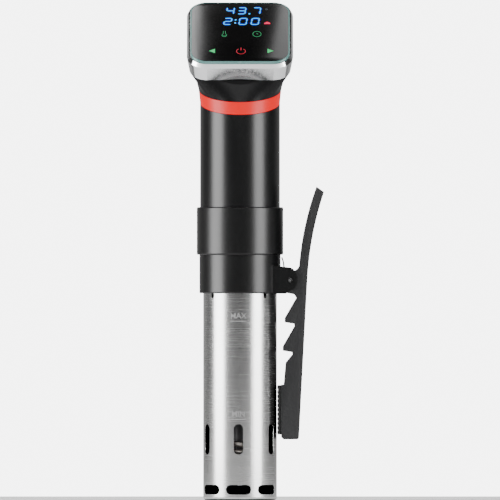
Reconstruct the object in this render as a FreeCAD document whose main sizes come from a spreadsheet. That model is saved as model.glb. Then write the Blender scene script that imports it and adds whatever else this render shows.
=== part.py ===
import FreeCAD, Part
import math
import os
import re
import Sketcher
from FreeCAD import Placement, Rotation, Vector

# Sous vide circulator. Millimetres, +Z up, the front faces -Y and the pot clip is on +X.
# The origin is on the tube's axis, in the flat bottom face of the skirt.

document = FreeCAD.newDocument("SousVideCirculator")
sheet = document.addObject("Spreadsheet::Sheet", "Dims")

SIZES = {
    # steel skirt that goes in the water
    "skirt_radius": 29.1,
    "skirt_wall": 0.8,
    "skirt_corner": 3.0,
    "skirt_top_gap": 0.7,
    "base_hub_radius": 9.0,
    "base_hole_radius": 2.2,
    "base_hole_circle": 18.0,
    "skirt_turn": -2.4,
    "intake_step": 51.4,
    "outlet_step": 60.5,
    "vent_step": 45.0,
    "intake_bottom": 5.1,
    "intake_height": 7.6,
    "intake_half_width": 9.95,
    "outlet_bottom": 36.6,
    "outlet_height": 24.0,
    "outlet_half_width": 3.7,
    "vent_bottom": 159.9,
    "vent_height": 14.0,
    "vent_half_width": 1.45,
    # clip sleeve and its two ears
    "sleeve_step": 3.0,
    "sleeve_bottom": 163.8,
    "sleeve_gap": 0.3,
    "ear_outer": 19.0,
    "ear_thick": 3.2,
    "ear_overlap": 4.1,
    "ear_nose": 5.6,
    "ear_top": 11.6,
    "ear_low": 10.6,
    # collar band and upper tube
    "band_bottom": 194.2,
    "band_height": 37.7,
    "band_step": 5.1,
    "band_flange": 2.0,
    "band_round": 1.2,
    "tube_step": 2.45,
    "tube_wall": 2.2,
    "tube_fit": 0.1,
    "ledge_width": 3.0,
    "ledge_thick": 2.5,
    "board_level": 288.0,
    # light ring
    "ring_tilt": 17.5,
    "ring_bottom": 314.6,
    "ring_rise": 10.0,
    "ring_swell": 1.05,
    "ring_wall": 3.15,
    "ring_seam": 0.3,
    "ring_spigot": 5.0,
    "spigot_wall": 2.1,
    "ring_ledge": 3.4,
    "ring_board_thick": 1.4,
    # head, square to a face that leans back
    "head_tilt": 38.0,
    "head_height": 370.1,
    "head_forward": 9.5,
    "glass_over": 15.3,
    "glass_short": 0.8,
    "glass_corner": 13.2,
    "glass_thick": 1.8,
    "glass_proud": 1.2,
    "adhesive_thick": 0.4,
    "seat_gap": 0.1,
    "lip_width": 1.4,
    "rim_width": 2.8,
    "rim_drop": 4.5,
    "bezel_depth": 13.0,
    "bezel_draft": 2.0,
    "bezel_wall": 2.7,
    "seat_width": 3.9,
    "shelf_thick": 2.5,
    "boss_radius": 3.2,
    "boss_x": 22.0,
    "boss_inset": 5.2,
    "boss_length": 6.0,
    "neck_wall": 3.0,
    "recess_half_width": 16.0,
    "recess_drop": 3.4,
    "recess_depth": 1.6,
    "panel_board_thick": 1.6,
    "panel_board_gap": 0.8,
    "display_width": 58.0,
    "display_length": 46.0,
    "display_gap": 0.4,
    "buzzer_radius": 6.0,
    "buzzer_height": 4.5,
    "gland_height": 352.0,
    "gland_radius": 5.1,
    "gland_bore": 3.3,
    "gland_collar": 8.0,
    "gland_proud": 3.5,
    "gland_sink": 1.2,
    "gland_inside": 12.0,
    "gland_nut_gap": 2.6,
    "gland_nut_height": 4.0,
    # pot clip
    "pin_reach": 10.5,
    "pin_height": 174.3,
    "pin_radius": 1.65,
    "pin_fit": 0.05,
    "pin_recess": 2.6,
    "pin_recess_depth": 0.9,
    "lever_side_gap": 0.3,
    "lever_back": 13.6,
    "lever_lean": 3.0,
    "lever_end": 1.8,
    "hub_radius": 7.0,
    "jaw_drop": 125.8,
    "arm_rise": 73.8,
    "arm_reach": 26.8,
    "arm_root": 7.2,
    "arm_root_rise": 12.2,
    "arm_tip": 6.0,
    "arm_tip_slant": 4.3,
    "arm_outer_bend": 262.0,
    "arm_inner_bend": 235.0,
    "tooth_root": 4.9,
    "tooth_start": 14.0,
    "tooth_pitch": 22.4,
    "tooth_slope": 16.0,
    "tooth_flat": 3.4,
    "tooth_tip": 4.3,
    "tooth_shift": 1.5,
    "pad_seat": 7.1,
    "pad_top": 82.7,
    "pad_gap": 0.3,
    "pad_side": 1.2,
    "rib_pitch": 3.0,
    "rib_depth": 0.7,
    "spring_slot": 6.0,
    "spring_coil": 3.6,
    "spring_wire": 0.6,
    "spring_turns": 5.25,
    "spring_clearance": 1.2,
    "spring_leg_ratio": 0.9,
    "spring_joint_ratio": 1.04,
    "spring_elbow_out": 2.2,
    "spring_elbow_down": 4.8,
    "spring_tip_gap": 0.3,
    "spring_tip_down": 0.8,
    "spring_arm_run": 2.06,
    "spring_arm_rise": 1.24,
    # water-side core
    "core_gap": 0.2,
    "core_bottom": 168.0,
    "core_plate": 12.0,
    "core_top": 206.2,
    "core_flange_gap": 0.1,
    "core_cup": 25.0,
    "core_hub": 9.0,
    "core_hub_height": 10.0,
    "post_radius": 3.2,
    "post_circle": 21.0,
    "deck_level": 222.0,
    "skirt_seal_level": 184.0,
    "skirt_seal_wire": 0.7,
    "core_seal_level": 203.6,
    "core_seal_wire": 0.85,
    "shaft_radius": 2.5,
    "shaft_fit": 0.05,
    "shaft_end": 12.0,
    "guide_radius": 5.0,
    "guide_wall": 0.8,
    "guide_end": 33.0,
    "guide_socket": 8.0,
    "bush_height": 8.0,
    "seal_radius": 7.0,
    "seal_height": 6.0,
    "seal_gap": 0.05,
    "fuse_x": 6.0,
    "fuse_y": 18.0,
    "heater_wire": 2.3,
    "heater_radius": 17.5,
    "heater_pitch": 6.3,
    "heater_bottom": 36.8,
    "heater_turns": 2,
    "heater_bend_ratio": 0.62,
    "heater_bend_less": 6.35,
    "heater_top": 186.0,
    "probe_radius": 2.2,
    "probe_x": 14.0,
    "probe_y": 19.8,
    "probe_end": 42.0,
    "level_pin_radius": 1.2,
    "level_pin_x": 7.0,
    "level_pin_y": 23.3,
    "low_mark": 64.5,
    "high_mark": 141.8,
    # impeller
    "impeller_bottom": 16.0,
    "impeller_height": 11.0,
    "impeller_radius": 19.5,
    "impeller_hub": 5.5,
    "impeller_plate": 1.4,
    "blade_thick": 1.4,
    "nut_height": 3.0,
    "nut_half": 4.0,
    # motor
    "deck_thick": 2.5,
    "deck_radius": 26.0,
    "deck_opening": 9.0,
    "motor_radius": 18.0,
    "motor_wall": 1.2,
    "motor_height": 40.0,
    "end_cap_height": 4.0,
    "bearing_radius": 5.0,
    "bearing_height": 3.0,
    "motor_shaft_radius": 2.0,
    "motor_shaft_above": 12.0,
    "magnet_thick": 3.0,
    "magnet_split": 8.0,
    "air_gap": 0.8,
    "rotor_height": 24.0,
    "rotor_slot": 2.6,
    "fan_radius": 15.0,
    "fan_height": 6.0,
    "fan_hub": 4.5,
    "coupling_radius": 6.0,
    "coupling_height": 12.0,
    "coupling_gap": 1.0,
    # power board
    "board_gap": 0.3,
    "board_thick": 1.6,
    "transformer_width": 18.0,
    "transformer_height": 13.0,
    "transformer_x": -13.5,
    "transformer_y": 7.0,
    "capacitor_radius": 5.0,
    "capacitor_height": 15.0,
    "capacitor_x": -17.0,
    "capacitor_y": -10.0,
    "relay_width": 10.0,
    "relay_length": 15.0,
    "relay_height": 12.0,
    "relay_x": 17.0,
    "relay_y": 2.0,
    "sink_width": 22.0,
    "sink_height": 16.0,
    "sink_base": 2.0,
    "sink_fin": 5.0,
    "sink_fin_thick": 1.6,
    "sink_shift": 2.0,
    "fuse_radius": 2.5,
    "fuse_length": 16.0,
    # screws
    "screw_radius": 1.2,
    "screw_head": 2.2,
    "screw_head_height": 1.4,
    "fixing_rise": 4.0,
    "fixing_depth": 3.4,
    "small_screw_radius": 0.8,
    "small_screw_head": 1.3,
    "small_screw_head_height": 0.9,
    "screw_fit": 0.05,
}

# Sizes that follow from others.
DERIVED = {
    "sleeve_radius": "skirt_radius + sleeve_step",
    "tube_radius": "skirt_radius + tube_step",
    "band_radius": "skirt_radius + band_step",
    "pin_offset": "skirt_radius + pin_reach",
    "ear_root": "skirt_radius - ear_overlap",
    "glass_width": "2 * tube_radius + glass_over",
    "glass_length": "glass_width - glass_short",
    "skirt_bore": "skirt_radius - skirt_wall",
    "skirt_top": "band_bottom - skirt_top_gap",
    "sleeve_bore": "skirt_radius + sleeve_gap",
    "core_radius": "skirt_bore - core_gap",
    "band_bore": "core_radius + tube_fit",
    "band_top": "band_bottom + band_height",
    "tube_bottom": "band_bottom + band_flange",
    "tube_bore": "tube_radius - tube_wall",
    "core_flange": "tube_bore - core_flange_gap",
    "fixing_level": "tube_bottom + fixing_rise",
    "fixing_seat": "tube_bore + tube_wall / 3",
    "ring_top": "ring_bottom + ring_rise",
    "ring_bore": "tube_radius - ring_wall",
    "ring_top_radius": "tube_radius + ring_swell",
    "lever_half": "ear_outer - ear_thick - lever_side_gap",
    "pin_bore": "pin_radius + pin_fit",
    "shaft_bore": "shaft_radius + shaft_fit",
    "guide_bore": "guide_radius - guide_wall",
    "heater_bend": "heater_bend_ratio * heater_radius - heater_bend_less",
    "guide_top": "core_bottom + guide_socket",
    "core_floor": "core_bottom + core_plate",
    "seal_bottom": "core_floor + core_hub_height - seal_height",
    "deck_top": "deck_level + deck_thick",
    "can_bottom": "deck_top + end_cap_height",
    "rotor_radius": "motor_radius - motor_wall - magnet_thick - air_gap",
    "motor_top": "can_bottom + motor_height",
    "coupling_bottom": "deck_level - coupling_height - 2 * coupling_gap",
    "coupling_middle": "coupling_bottom + coupling_height / 2",
    "board_top": "board_level + board_thick",
    "rim_half_width": "glass_width / 2 + rim_width",
    "rim_half_length": "glass_length / 2 + rim_width",
    "foot_half_width": "rim_half_width - bezel_draft",
    "foot_half_length": "rim_half_length - bezel_draft",
    "foot_corner": "glass_corner + rim_width - bezel_draft",
    "bezel_foot": "rim_drop + bezel_depth",
    "boss_y": "boss_inset - foot_half_length",
    "gland_seat": "ring_top_radius - gland_sink",
    "seat_depth": "glass_thick + adhesive_thick",
    "shelf_depth": "seat_depth + shelf_thick",
}

for row, (alias, value) in enumerate(SIZES.items(), start=1):
    sheet.set(f"A{row}", alias)
    sheet.set(f"B{row}", str(value))
    sheet.setAlias(f"B{row}", alias)
document.recompute()

WORD = re.compile(r"[a-z][a-z_]*")


def spelled_out(formula, prefix):
    """The formula with derived sizes replaced by what they stand for."""

    def replace(word):
        name = word.group()
        if name in DERIVED:
            return "(" + spelled_out(DERIVED[name], prefix) + ")"
        return prefix + name if name in SIZES else name

    return WORD.sub(replace, str(formula))


def bound(formula):
    """The formula as an object of this document has to write it."""
    return spelled_out(formula, "Dims.")


def size(formula):
    """The formula's value in millimetres, degrees or as a plain number."""
    return float(sheet.evalExpression(spelled_out(formula, "")))


NODES = {}


def node(label, thing):
    """Give a finished sub-part its own label."""
    thing.Label = label
    NODES[label] = thing
    return thing


# ---------------------------------------------------------------- bodies and sketches


def new_body(label):
    """A body whose label is the node's name."""
    return node(label, document.addObject("PartDesign::Body", "Body_" + label))


def origin_of(body, role):
    """One of the body's own origin planes or axes."""
    return next(thing for thing in body.Origin.OriginFeatures if thing.Role == role)


def new_sketch(body, plane, offset="0"):
    """A sketch on one of the body's origin planes, moved along its normal."""
    sketch = body.newObject("Sketcher::SketchObject", "Sketch")
    sketch.AttachmentSupport = (origin_of(body, plane), [""])
    sketch.MapMode = "FlatFace"
    sketch.AttachmentOffset = Placement(Vector(0, 0, size(offset)), Rotation())
    sketch.setExpression("AttachmentOffset.Base.z", bound(offset))
    return sketch


def fix(sketch, kind, formula, *where):
    """Add a dimension and bind it to the sheet."""
    index = sketch.addConstraint(Sketcher.Constraint(kind, *where, size(formula)))
    sketch.setExpression(f"Constraints[{index}]", bound(formula))


def arc_through(start, end, radius, turn):
    """The middle point of an arc that turns left (1) or right (-1)."""
    chord = end - start
    left = Vector(-chord.y, chord.x, 0).normalize()
    height = math.sqrt(max(radius**2 - (chord.Length / 2) ** 2, 0))
    return (start + end) / 2 + left * (turn * (height - radius))


def outline(sketch, steps):
    """A closed outline. A step is (x, y), or (x, y, radius, turn) where an arc leaves that point."""
    points = [Vector(size(step[0]), size(step[1]), 0) for step in steps]
    first = sketch.GeometryCount
    starts = []
    for index, step in enumerate(steps):
        here = points[index]
        there = points[(index + 1) % len(points)]
        turn = step[3] if len(step) > 2 else 1
        if len(step) > 2:
            middle = arc_through(here, there, size(step[2]), turn)
            ends = (here, there) if turn > 0 else (there, here)
            sketch.addGeometry(Part.Arc(ends[0], middle, ends[1]))
        else:
            sketch.addGeometry(Part.LineSegment(here, there))
        starts.append(1 if turn > 0 else 2)
    for index, step in enumerate(steps):
        after = (index + 1) % len(steps)
        edge = first + index
        sketch.addConstraint(
            Sketcher.Constraint("Coincident", edge, 3 - starts[index], first + after, starts[after])
        )
        fix(sketch, "DistanceX", step[0], edge, starts[index])
        fix(sketch, "DistanceY", step[1], edge, starts[index])
        if len(step) > 2:
            fix(sketch, "Radius", step[2], edge)
    return sketch


def rectangle(sketch, left, bottom, right, top):
    """A rectangle between two corners."""
    return outline(sketch, [(left, bottom), (right, bottom), (right, top), (left, top)])


def rounded_rectangle(sketch, half_x, half_y, corner):
    """A rectangle about the sketch's origin, with round corners."""
    inner_x = f"({half_x} - ({corner}))"
    inner_y = f"({half_y} - ({corner}))"
    steps = [
        (f"-{inner_x}", f"-({half_y})"),
        (inner_x, f"-({half_y})", corner, 1),
        (half_x, f"-{inner_y}"),
        (half_x, inner_y, corner, 1),
        (inner_x, half_y),
        (f"-{inner_x}", half_y, corner, 1),
        (f"-({half_x})", inner_y),
        (f"-({half_x})", f"-{inner_y}", corner, 1),
    ]
    return outline(sketch, steps)


def circle(sketch, x, y, radius):
    """A circle with its centre and radius bound."""
    centre = Vector(size(x), size(y), 0)
    edge = sketch.addGeometry(Part.Circle(centre, Vector(0, 0, 1), size(radius)))
    fix(sketch, "DistanceX", x, edge, 3)
    fix(sketch, "DistanceY", y, edge, 3)
    fix(sketch, "Radius", radius, edge)
    return sketch


def slot(sketch, x, bottom, top, half_width):
    """An upright slot with full round ends. bottom and top are its two ends."""
    low = f"{bottom} + {half_width}"
    high = f"{top} - {half_width}"
    middle, half = size(x), size(half_width)
    up = Vector(0, 0, 1)
    right = (Vector(middle + half, size(low), 0), Vector(middle + half, size(high), 0))
    left = (Vector(middle - half, size(high), 0), Vector(middle - half, size(low), 0))
    sketch.addGeometry(Part.LineSegment(*right))
    cap = Part.Circle(Vector(middle, size(high), 0), up, half)
    sketch.addGeometry(Part.ArcOfCircle(cap, 0, math.pi))
    sketch.addGeometry(Part.LineSegment(*left))
    foot = Part.Circle(Vector(middle, size(low), 0), up, half)
    sketch.addGeometry(Part.ArcOfCircle(foot, math.pi, 2 * math.pi))
    for edge in range(4):
        sketch.addConstraint(Sketcher.Constraint("Tangent", edge, 2, (edge + 1) % 4, 1))
    sketch.addConstraint(Sketcher.Constraint("Equal", 1, 3))
    fix(sketch, "Radius", half_width, 1)
    for edge, height in ((1, high), (3, low)):
        fix(sketch, "DistanceX", x, edge, 3)
        fix(sketch, "DistanceY", height, edge, 3)
    return sketch


def level_slot(sketch, left, right, level, half_height):
    """A lying slot with full round ends. left and right are its two ends."""
    west = f"{left} + {half_height}"
    east = f"{right} - {half_height}"
    middle, half = size(level), size(half_height)
    up = Vector(0, 0, 1)
    sketch.addGeometry(
        Part.LineSegment(Vector(size(west), middle - half, 0), Vector(size(east), middle - half, 0))
    )
    cap = Part.Circle(Vector(size(east), middle, 0), up, half)
    sketch.addGeometry(Part.ArcOfCircle(cap, -math.pi / 2, math.pi / 2))
    sketch.addGeometry(
        Part.LineSegment(Vector(size(east), middle + half, 0), Vector(size(west), middle + half, 0))
    )
    foot = Part.Circle(Vector(size(west), middle, 0), up, half)
    sketch.addGeometry(Part.ArcOfCircle(foot, math.pi / 2, 3 * math.pi / 2))
    for edge in range(4):
        sketch.addConstraint(Sketcher.Constraint("Tangent", edge, 2, (edge + 1) % 4, 1))
    sketch.addConstraint(Sketcher.Constraint("Equal", 1, 3))
    fix(sketch, "Radius", half_height, 1)
    for edge, place in ((1, east), (3, west)):
        fix(sketch, "DistanceX", place, edge, 3)
        fix(sketch, "DistanceY", level, edge, 3)
    return sketch


def add_feature(body, kind, sketch, length=None, both_sides=False, reverse=False):
    """A pad or pocket of the sketch; no length means through everything."""
    feature = body.newObject("PartDesign::" + kind, kind)
    feature.Profile = sketch
    if both_sides:
        feature.SideType = "Symmetric"
    feature.Reversed = reverse
    if length is None:
        feature.Type = "ThroughAll"
    else:
        feature.Length = size(length)
        feature.setExpression("Length", bound(length))
    return feature


def pad(body, sketch, length, both_sides=False):
    """Material added along the sketch's normal."""
    return add_feature(body, "Pad", sketch, length, both_sides)


def pocket(body, sketch, length=None, both_sides=False, reverse=False):
    """Material taken away, against the sketch's normal unless reversed."""
    return add_feature(body, "Pocket", sketch, length, both_sides, reverse)


def around(body, feature, count, sweep=360):
    """Repeat the feature evenly about the body's Z axis, over the whole turn or a sweep in degrees."""
    pattern = body.newObject("PartDesign::PolarPattern", "Pattern")
    pattern.Originals = [feature]
    pattern.Axis = (origin_of(body, "Z_Axis"), [""])
    pattern.Angle = sweep
    pattern.Occurrences = count
    body.Tip = pattern
    return pattern


def turned_sketch(body, angle):
    """An upright sketch on the axis that faces forwards, turned to the right by an angle."""
    sketch = new_sketch(body, "XZ_Plane")
    sketch.AttachmentOffset = Placement(Vector(0, 0, 0), Rotation(Vector(0, 1, 0), angle))
    return sketch


def loft(body, low, high):
    """Straight-sided material between two sketches."""
    feature = body.newObject("PartDesign::AdditiveLoft", "Loft")
    feature.Profile = low
    feature.Sections = [high]
    feature.Ruled = True
    return feature


def revolve(body, steps):
    """A turned solid: steps give radius and height."""
    sketch = outline(new_sketch(body, "XZ_Plane"), steps)
    turned_solid = body.newObject("PartDesign::Revolution", "Revolution")
    turned_solid.Profile = sketch
    turned_solid.ReferenceAxis = (sketch, ["V_Axis"])
    turned_solid.Angle = 360
    return turned_solid


def turned(label, steps):
    """A body that is one turned solid."""
    body = new_body(label)
    revolve(body, steps)
    return body


def ring_of(label, inner, outer, bottom, top):
    """A plain turned ring."""
    return turned(label, [(inner, bottom), (outer, bottom), (outer, top), (inner, top)])


def tilted_cut(body, level, tilt, above=True):
    """Cut away all above (or below) a plane that rises towards +Y and crosses the axis at level."""
    reach = "3 * tube_radius"
    far = "head_height + glass_length" if above else "0"
    steps = [
        (f"-({reach})", f"{level} - {reach} * tan({tilt})"),
        (reach, f"{level} + {reach} * tan({tilt})"),
        (reach, far),
        (f"-({reach})", far),
    ]
    sketch = outline(new_sketch(body, "YZ_Plane"), steps if above else steps[::-1])
    return pocket(body, sketch, both_sides=True)


def place_on_head(body):
    """Lean the body back with the head. Its own XY plane is then the top of the glass."""
    body.Placement = Placement(Vector(0, 0, 0), Rotation(Vector(1, 0, 0), size("head_tilt")))
    body.setExpression("Placement.Base.y", bound("-head_forward"))
    body.setExpression("Placement.Base.z", bound("head_height"))
    body.setExpression("Placement.Rotation.Angle", bound("head_tilt"))
    return body


# ---------------------------------------------------------------- primitives


def bind_place(thing, x, y, z, direction=Vector(0, 0, 1)):
    """Put a primitive at a bound place with its own Z along the direction."""
    thing.Placement = Placement(Vector(0, 0, 0), Rotation(Vector(0, 0, 1), direction))
    for axis, formula in zip("xyz", (x, y, z)):
        thing.setExpression(f"Placement.Base.{axis}", bound(formula))
    return thing


def cylinder(radius, height, x="0", y="0", z="0", direction=Vector(0, 0, 1)):
    """A bound Part cylinder."""
    thing = document.addObject("Part::Cylinder", "Cylinder")
    thing.setExpression("Radius", bound(radius))
    thing.setExpression("Height", bound(height))
    return bind_place(thing, x, y, z, direction)


def block(length, width, height, x, y, z):
    """A bound Part box, centred on x and y, standing on z."""
    thing = document.addObject("Part::Box", "Box")
    thing.setExpression("Length", bound(length))
    thing.setExpression("Width", bound(width))
    thing.setExpression("Height", bound(height))
    return bind_place(thing, f"{x} - ({length}) / 2", f"{y} - ({width}) / 2", z)


def torus(ring_radius, wire_radius, z):
    """A bound Part torus about the Z axis."""
    thing = document.addObject("Part::Torus", "Torus")
    thing.setExpression("Radius1", bound(ring_radius))
    thing.setExpression("Radius2", bound(wire_radius))
    return bind_place(thing, "0", "0", z)


def fused(*things):
    """Several primitives as one solid."""
    union = document.addObject("Part::MultiFuse", "Fuse")
    union.Shapes = list(things)
    return union


def cut(base, *tools):
    """The base with the tools taken away."""
    result = document.addObject("Part::Cut", "Cut")
    result.Base = base
    result.Tool = tools[0] if len(tools) == 1 else fused(*tools)
    return result


def collection(label, things):
    """Identical fasteners as one node of separate solids."""
    group = document.addObject("Part::Compound", "Group")
    group.Links = things
    return node(label, group)


def screw(radius, length, head_radius, head_height, x, y, z, direction):
    """A pan-head screw: z is under the head, and the shank runs along the direction."""
    shank = cylinder(radius, length, x, y, z, direction)
    head = cylinder(head_radius, head_height, x, y, z, direction * -1)
    return fused(shank, head)


def on_circle(count, radius, first=0.0):
    """Places evenly round the axis, as bound x and y and the angle in degrees."""
    for index in range(count):
        angle = first + 360.0 * index / count
        yield f"({radius}) * cos({angle:g})", f"({radius}) * sin({angle:g})", angle


def shaped(label, shape, at=None):
    """A node whose shape comes from Part's own functions."""
    thing = document.addObject("Part::Feature", "Shape_" + label)
    thing.Shape = shape
    if at is not None:
        thing.Placement = at
    return node(label, thing)


def round_section(radius, level, tilt):
    """Where a plane that rises towards +Y cuts an upright cylinder, as a wire."""
    lean = math.radians(size(tilt))
    centre = Vector(0, 0, size(level))
    along = Vector(0, math.cos(lean), math.sin(lean)) * (size(radius) / math.cos(lean))
    ellipse = Part.Ellipse(centre + along, centre + Vector(-size(radius), 0, 0), centre)
    return ellipse


def tilted_tube(outer_low, outer_high, inner_low, inner_high, low, high):
    """A tube between two planes that lean as the light ring does."""
    solids = []
    for radius_low, radius_high in ((outer_low, outer_high), (inner_low, inner_high)):
        sections = [
            Part.Wire(round_section(radius, level, "ring_tilt").toShape())
            for radius, level in ((radius_low, low), (radius_high, high))
        ]
        solids.append(Part.makeLoft(sections, True, True))
    return solids[0].cut(solids[1])


# ---------------------------------------------------------------- wet end


def make_skirt():
    """Deep-drawn steel skirt: a closed base with drain holes, front water slots and steam vents."""
    body = new_body("skirt")
    steps = [
        ("0", "0"),
        ("skirt_radius - skirt_corner", "0", "skirt_corner", 1),
        ("skirt_radius", "skirt_corner"),
        ("skirt_radius", "skirt_top"),
        ("skirt_bore", "skirt_top"),
        ("skirt_bore", "skirt_corner", "skirt_corner - skirt_wall", -1),
        ("skirt_radius - skirt_corner", "skirt_wall"),
        ("0", "skirt_wall"),
    ]
    revolve(body, steps)
    turn, intake_step, outlet_step = size("skirt_turn"), size("intake_step"), size("outlet_step")
    intake = level_slot(
        turned_sketch(body, turn - intake_step),
        "-intake_half_width",
        "intake_half_width",
        "intake_bottom + intake_height / 2",
        "intake_height / 2",
    )
    around(body, pocket(body, intake, reverse=True), 3, 2 * intake_step)
    outlet = slot(
        turned_sketch(body, turn - outlet_step),
        "0",
        "outlet_bottom",
        "outlet_bottom + outlet_height",
        "outlet_half_width",
    )
    around(body, pocket(body, outlet, reverse=True), 3, 2 * outlet_step)
    vent = slot(
        turned_sketch(body, turn - size("vent_step")),
        "0",
        "vent_bottom",
        "vent_bottom + vent_height",
        "vent_half_width",
    )
    around(body, pocket(body, vent, reverse=True), 2, 2 * size("vent_step"))
    hole = circle(new_sketch(body, "XY_Plane"), "base_hole_circle", "0", "base_hole_radius")
    around(body, pocket(body, hole, both_sides=True), 8)


def make_core():
    """Moulded bulkhead that closes the wet end and carries heater, probe, shaft and motor posts."""
    body = new_body("bulkhead")
    skirt_groove = "core_radius - 1.8 * skirt_seal_wire"
    core_groove = "core_flange - 2 * core_seal_wire"
    steps = [
        ("shaft_bore", "core_bottom"),
        ("core_radius", "core_bottom"),
        ("core_radius", "skirt_seal_level - skirt_seal_wire"),
        (skirt_groove, "skirt_seal_level - skirt_seal_wire"),
        (skirt_groove, "skirt_seal_level + skirt_seal_wire"),
        ("core_radius", "skirt_seal_level + skirt_seal_wire"),
        ("core_radius", "tube_bottom"),
        ("core_flange", "tube_bottom"),
        ("core_flange", "core_seal_level - core_seal_wire"),
        (core_groove, "core_seal_level - core_seal_wire"),
        (core_groove, "core_seal_level + core_seal_wire"),
        ("core_flange", "core_seal_level + core_seal_wire"),
        ("core_flange", "core_top"),
        ("core_cup", "core_top"),
        ("core_cup", "core_floor"),
        ("core_hub", "core_floor"),
        ("core_hub", "core_floor + core_hub_height"),
        ("seal_radius", "core_floor + core_hub_height"),
        ("seal_radius", "seal_bottom"),
        ("shaft_bore", "seal_bottom"),
    ]
    revolve(body, steps)
    socket = circle(new_sketch(body, "XY_Plane", "guide_top"), "0", "0", "guide_radius")
    pocket(body, socket)
    posts = circle(new_sketch(body, "XY_Plane", "core_floor"), "-post_circle", "0", "post_radius")
    around(body, pad(body, posts, "deck_level - core_floor"), 3)
    pilot = circle(new_sketch(body, "XY_Plane", "deck_level"), "-post_circle", "0", "screw_radius")
    around(body, pocket(body, pilot, "12"), 3)
    passages = [
        ("heater_radius", "-heater_bend", "heater_wire"),
        ("heater_radius - 2 * heater_bend", "heater_bend", "heater_wire"),
        ("-probe_x", "-probe_y", "probe_radius"),
        ("-level_pin_x", "level_pin_y", "level_pin_radius"),
        ("level_pin_x", "level_pin_y", "level_pin_radius"),
    ]
    for x, y, radius in passages:
        hole = circle(new_sketch(body, "XY_Plane", "core_top"), x, y, f"{radius} + shaft_fit")
        pocket(body, hole)
    fixing = circle(
        new_sketch(body, "XZ_Plane", "core_flange - fixing_depth"), "0", "fixing_level", "screw_radius"
    )
    around(body, pocket(body, fixing, reverse=True), 3)


def make_seals():
    """O-rings in their grooves and the lip seal on the shaft."""
    skirt_ring = torus("skirt_bore - skirt_seal_wire - seal_gap", "skirt_seal_wire", "skirt_seal_level")
    node("skirt_o_ring", skirt_ring)
    node("bulkhead_o_ring", torus("tube_bore - core_seal_wire - 0.05", "core_seal_wire", "core_seal_level"))
    lip = "shaft_bore"
    steps = [
        (lip, "seal_bottom"),
        ("seal_radius", "seal_bottom"),
        ("seal_radius", "seal_bottom + seal_height"),
        ("seal_radius - 1.2", "seal_bottom + seal_height"),
        ("seal_radius - 1.2", "seal_bottom + 1.6"),
        ("shaft_bore + 1.2", "seal_bottom + 1.6"),
        (lip, "seal_bottom + seal_height - 1"),
    ]
    turned("shaft_seal", steps)


def heater_path():
    """Leg, coil of level half turns that each rise by half a pitch, and leg."""
    radius, pitch, bend = size("heater_radius"), size("heater_pitch"), size("heater_bend")
    bottom, top = size("heater_bottom"), size("heater_top")
    leg_x, leg_y = radius - 2 * bend, bend
    diagonal = math.sqrt(0.5)
    edges = [
        Part.LineSegment(Vector(leg_x, leg_y, top), Vector(leg_x, leg_y, bottom + bend)),
        Part.Arc(
            Vector(leg_x, leg_y, bottom + bend),
            Vector(leg_x + bend * (1 - diagonal), leg_y, bottom + bend * (1 - diagonal)),
            Vector(leg_x + bend, leg_y, bottom),
        ),
        Part.Arc(
            Vector(leg_x + bend, leg_y, bottom),
            Vector(leg_x + bend * (1 + diagonal), bend * diagonal, bottom),
            Vector(radius, 0, bottom),
        ),
    ]
    side = 1
    for half_turn in range(2 * int(size("heater_turns"))):
        start = bottom + half_turn * pitch / 2
        middle = Vector(0, -side * math.hypot(radius, pitch / 4), start + pitch / 4)
        end = Vector(-side * radius, 0, start + pitch / 2)
        edges.append(Part.Arc(Vector(side * radius, 0, start), middle, end))
        side = -side
    coil_top = bottom + int(size("heater_turns")) * pitch
    edges.append(
        Part.Arc(
            Vector(radius, 0, coil_top),
            Vector(radius, -bend * diagonal, coil_top + bend * (1 - diagonal)),
            Vector(radius, -bend, coil_top + bend),
        )
    )
    edges.append(Part.LineSegment(Vector(radius, -bend, coil_top + bend), Vector(radius, -bend, top)))
    return Part.Wire([edge.toShape() for edge in edges])


def make_heater():
    """Sheathed immersion heater, bent from one tube."""
    path = heater_path()
    start = path.Edges[0].Vertexes[0].Point
    ring = Part.Wire(Part.makeCircle(size("heater_wire"), start, Vector(0, 0, -1)))
    tube = path.makePipeShell([ring], True, False)
    shaped("heater_coil", tube)


def make_probes():
    """Temperature probe with a round end, and the two water-level pins."""
    tip = "probe_end + probe_radius"
    probe_top = "core_floor + 4"
    steps = [
        ("0", "probe_end", "probe_radius", 1),
        ("probe_radius", tip),
        ("probe_radius", probe_top),
        ("0", probe_top),
    ]
    probe = turned("temperature_probe", steps)
    probe.setExpression("Placement.Base.x", bound("-probe_x"))
    probe.setExpression("Placement.Base.y", bound("-probe_y"))
    pins = [
        cylinder("level_pin_radius", f"core_floor + 4 - {end}", x, "level_pin_y", end)
        for x, end in (("-level_pin_x", "low_mark"), ("level_pin_x", "high_mark"))
    ]
    collection("level_sensor_pins", pins)


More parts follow.
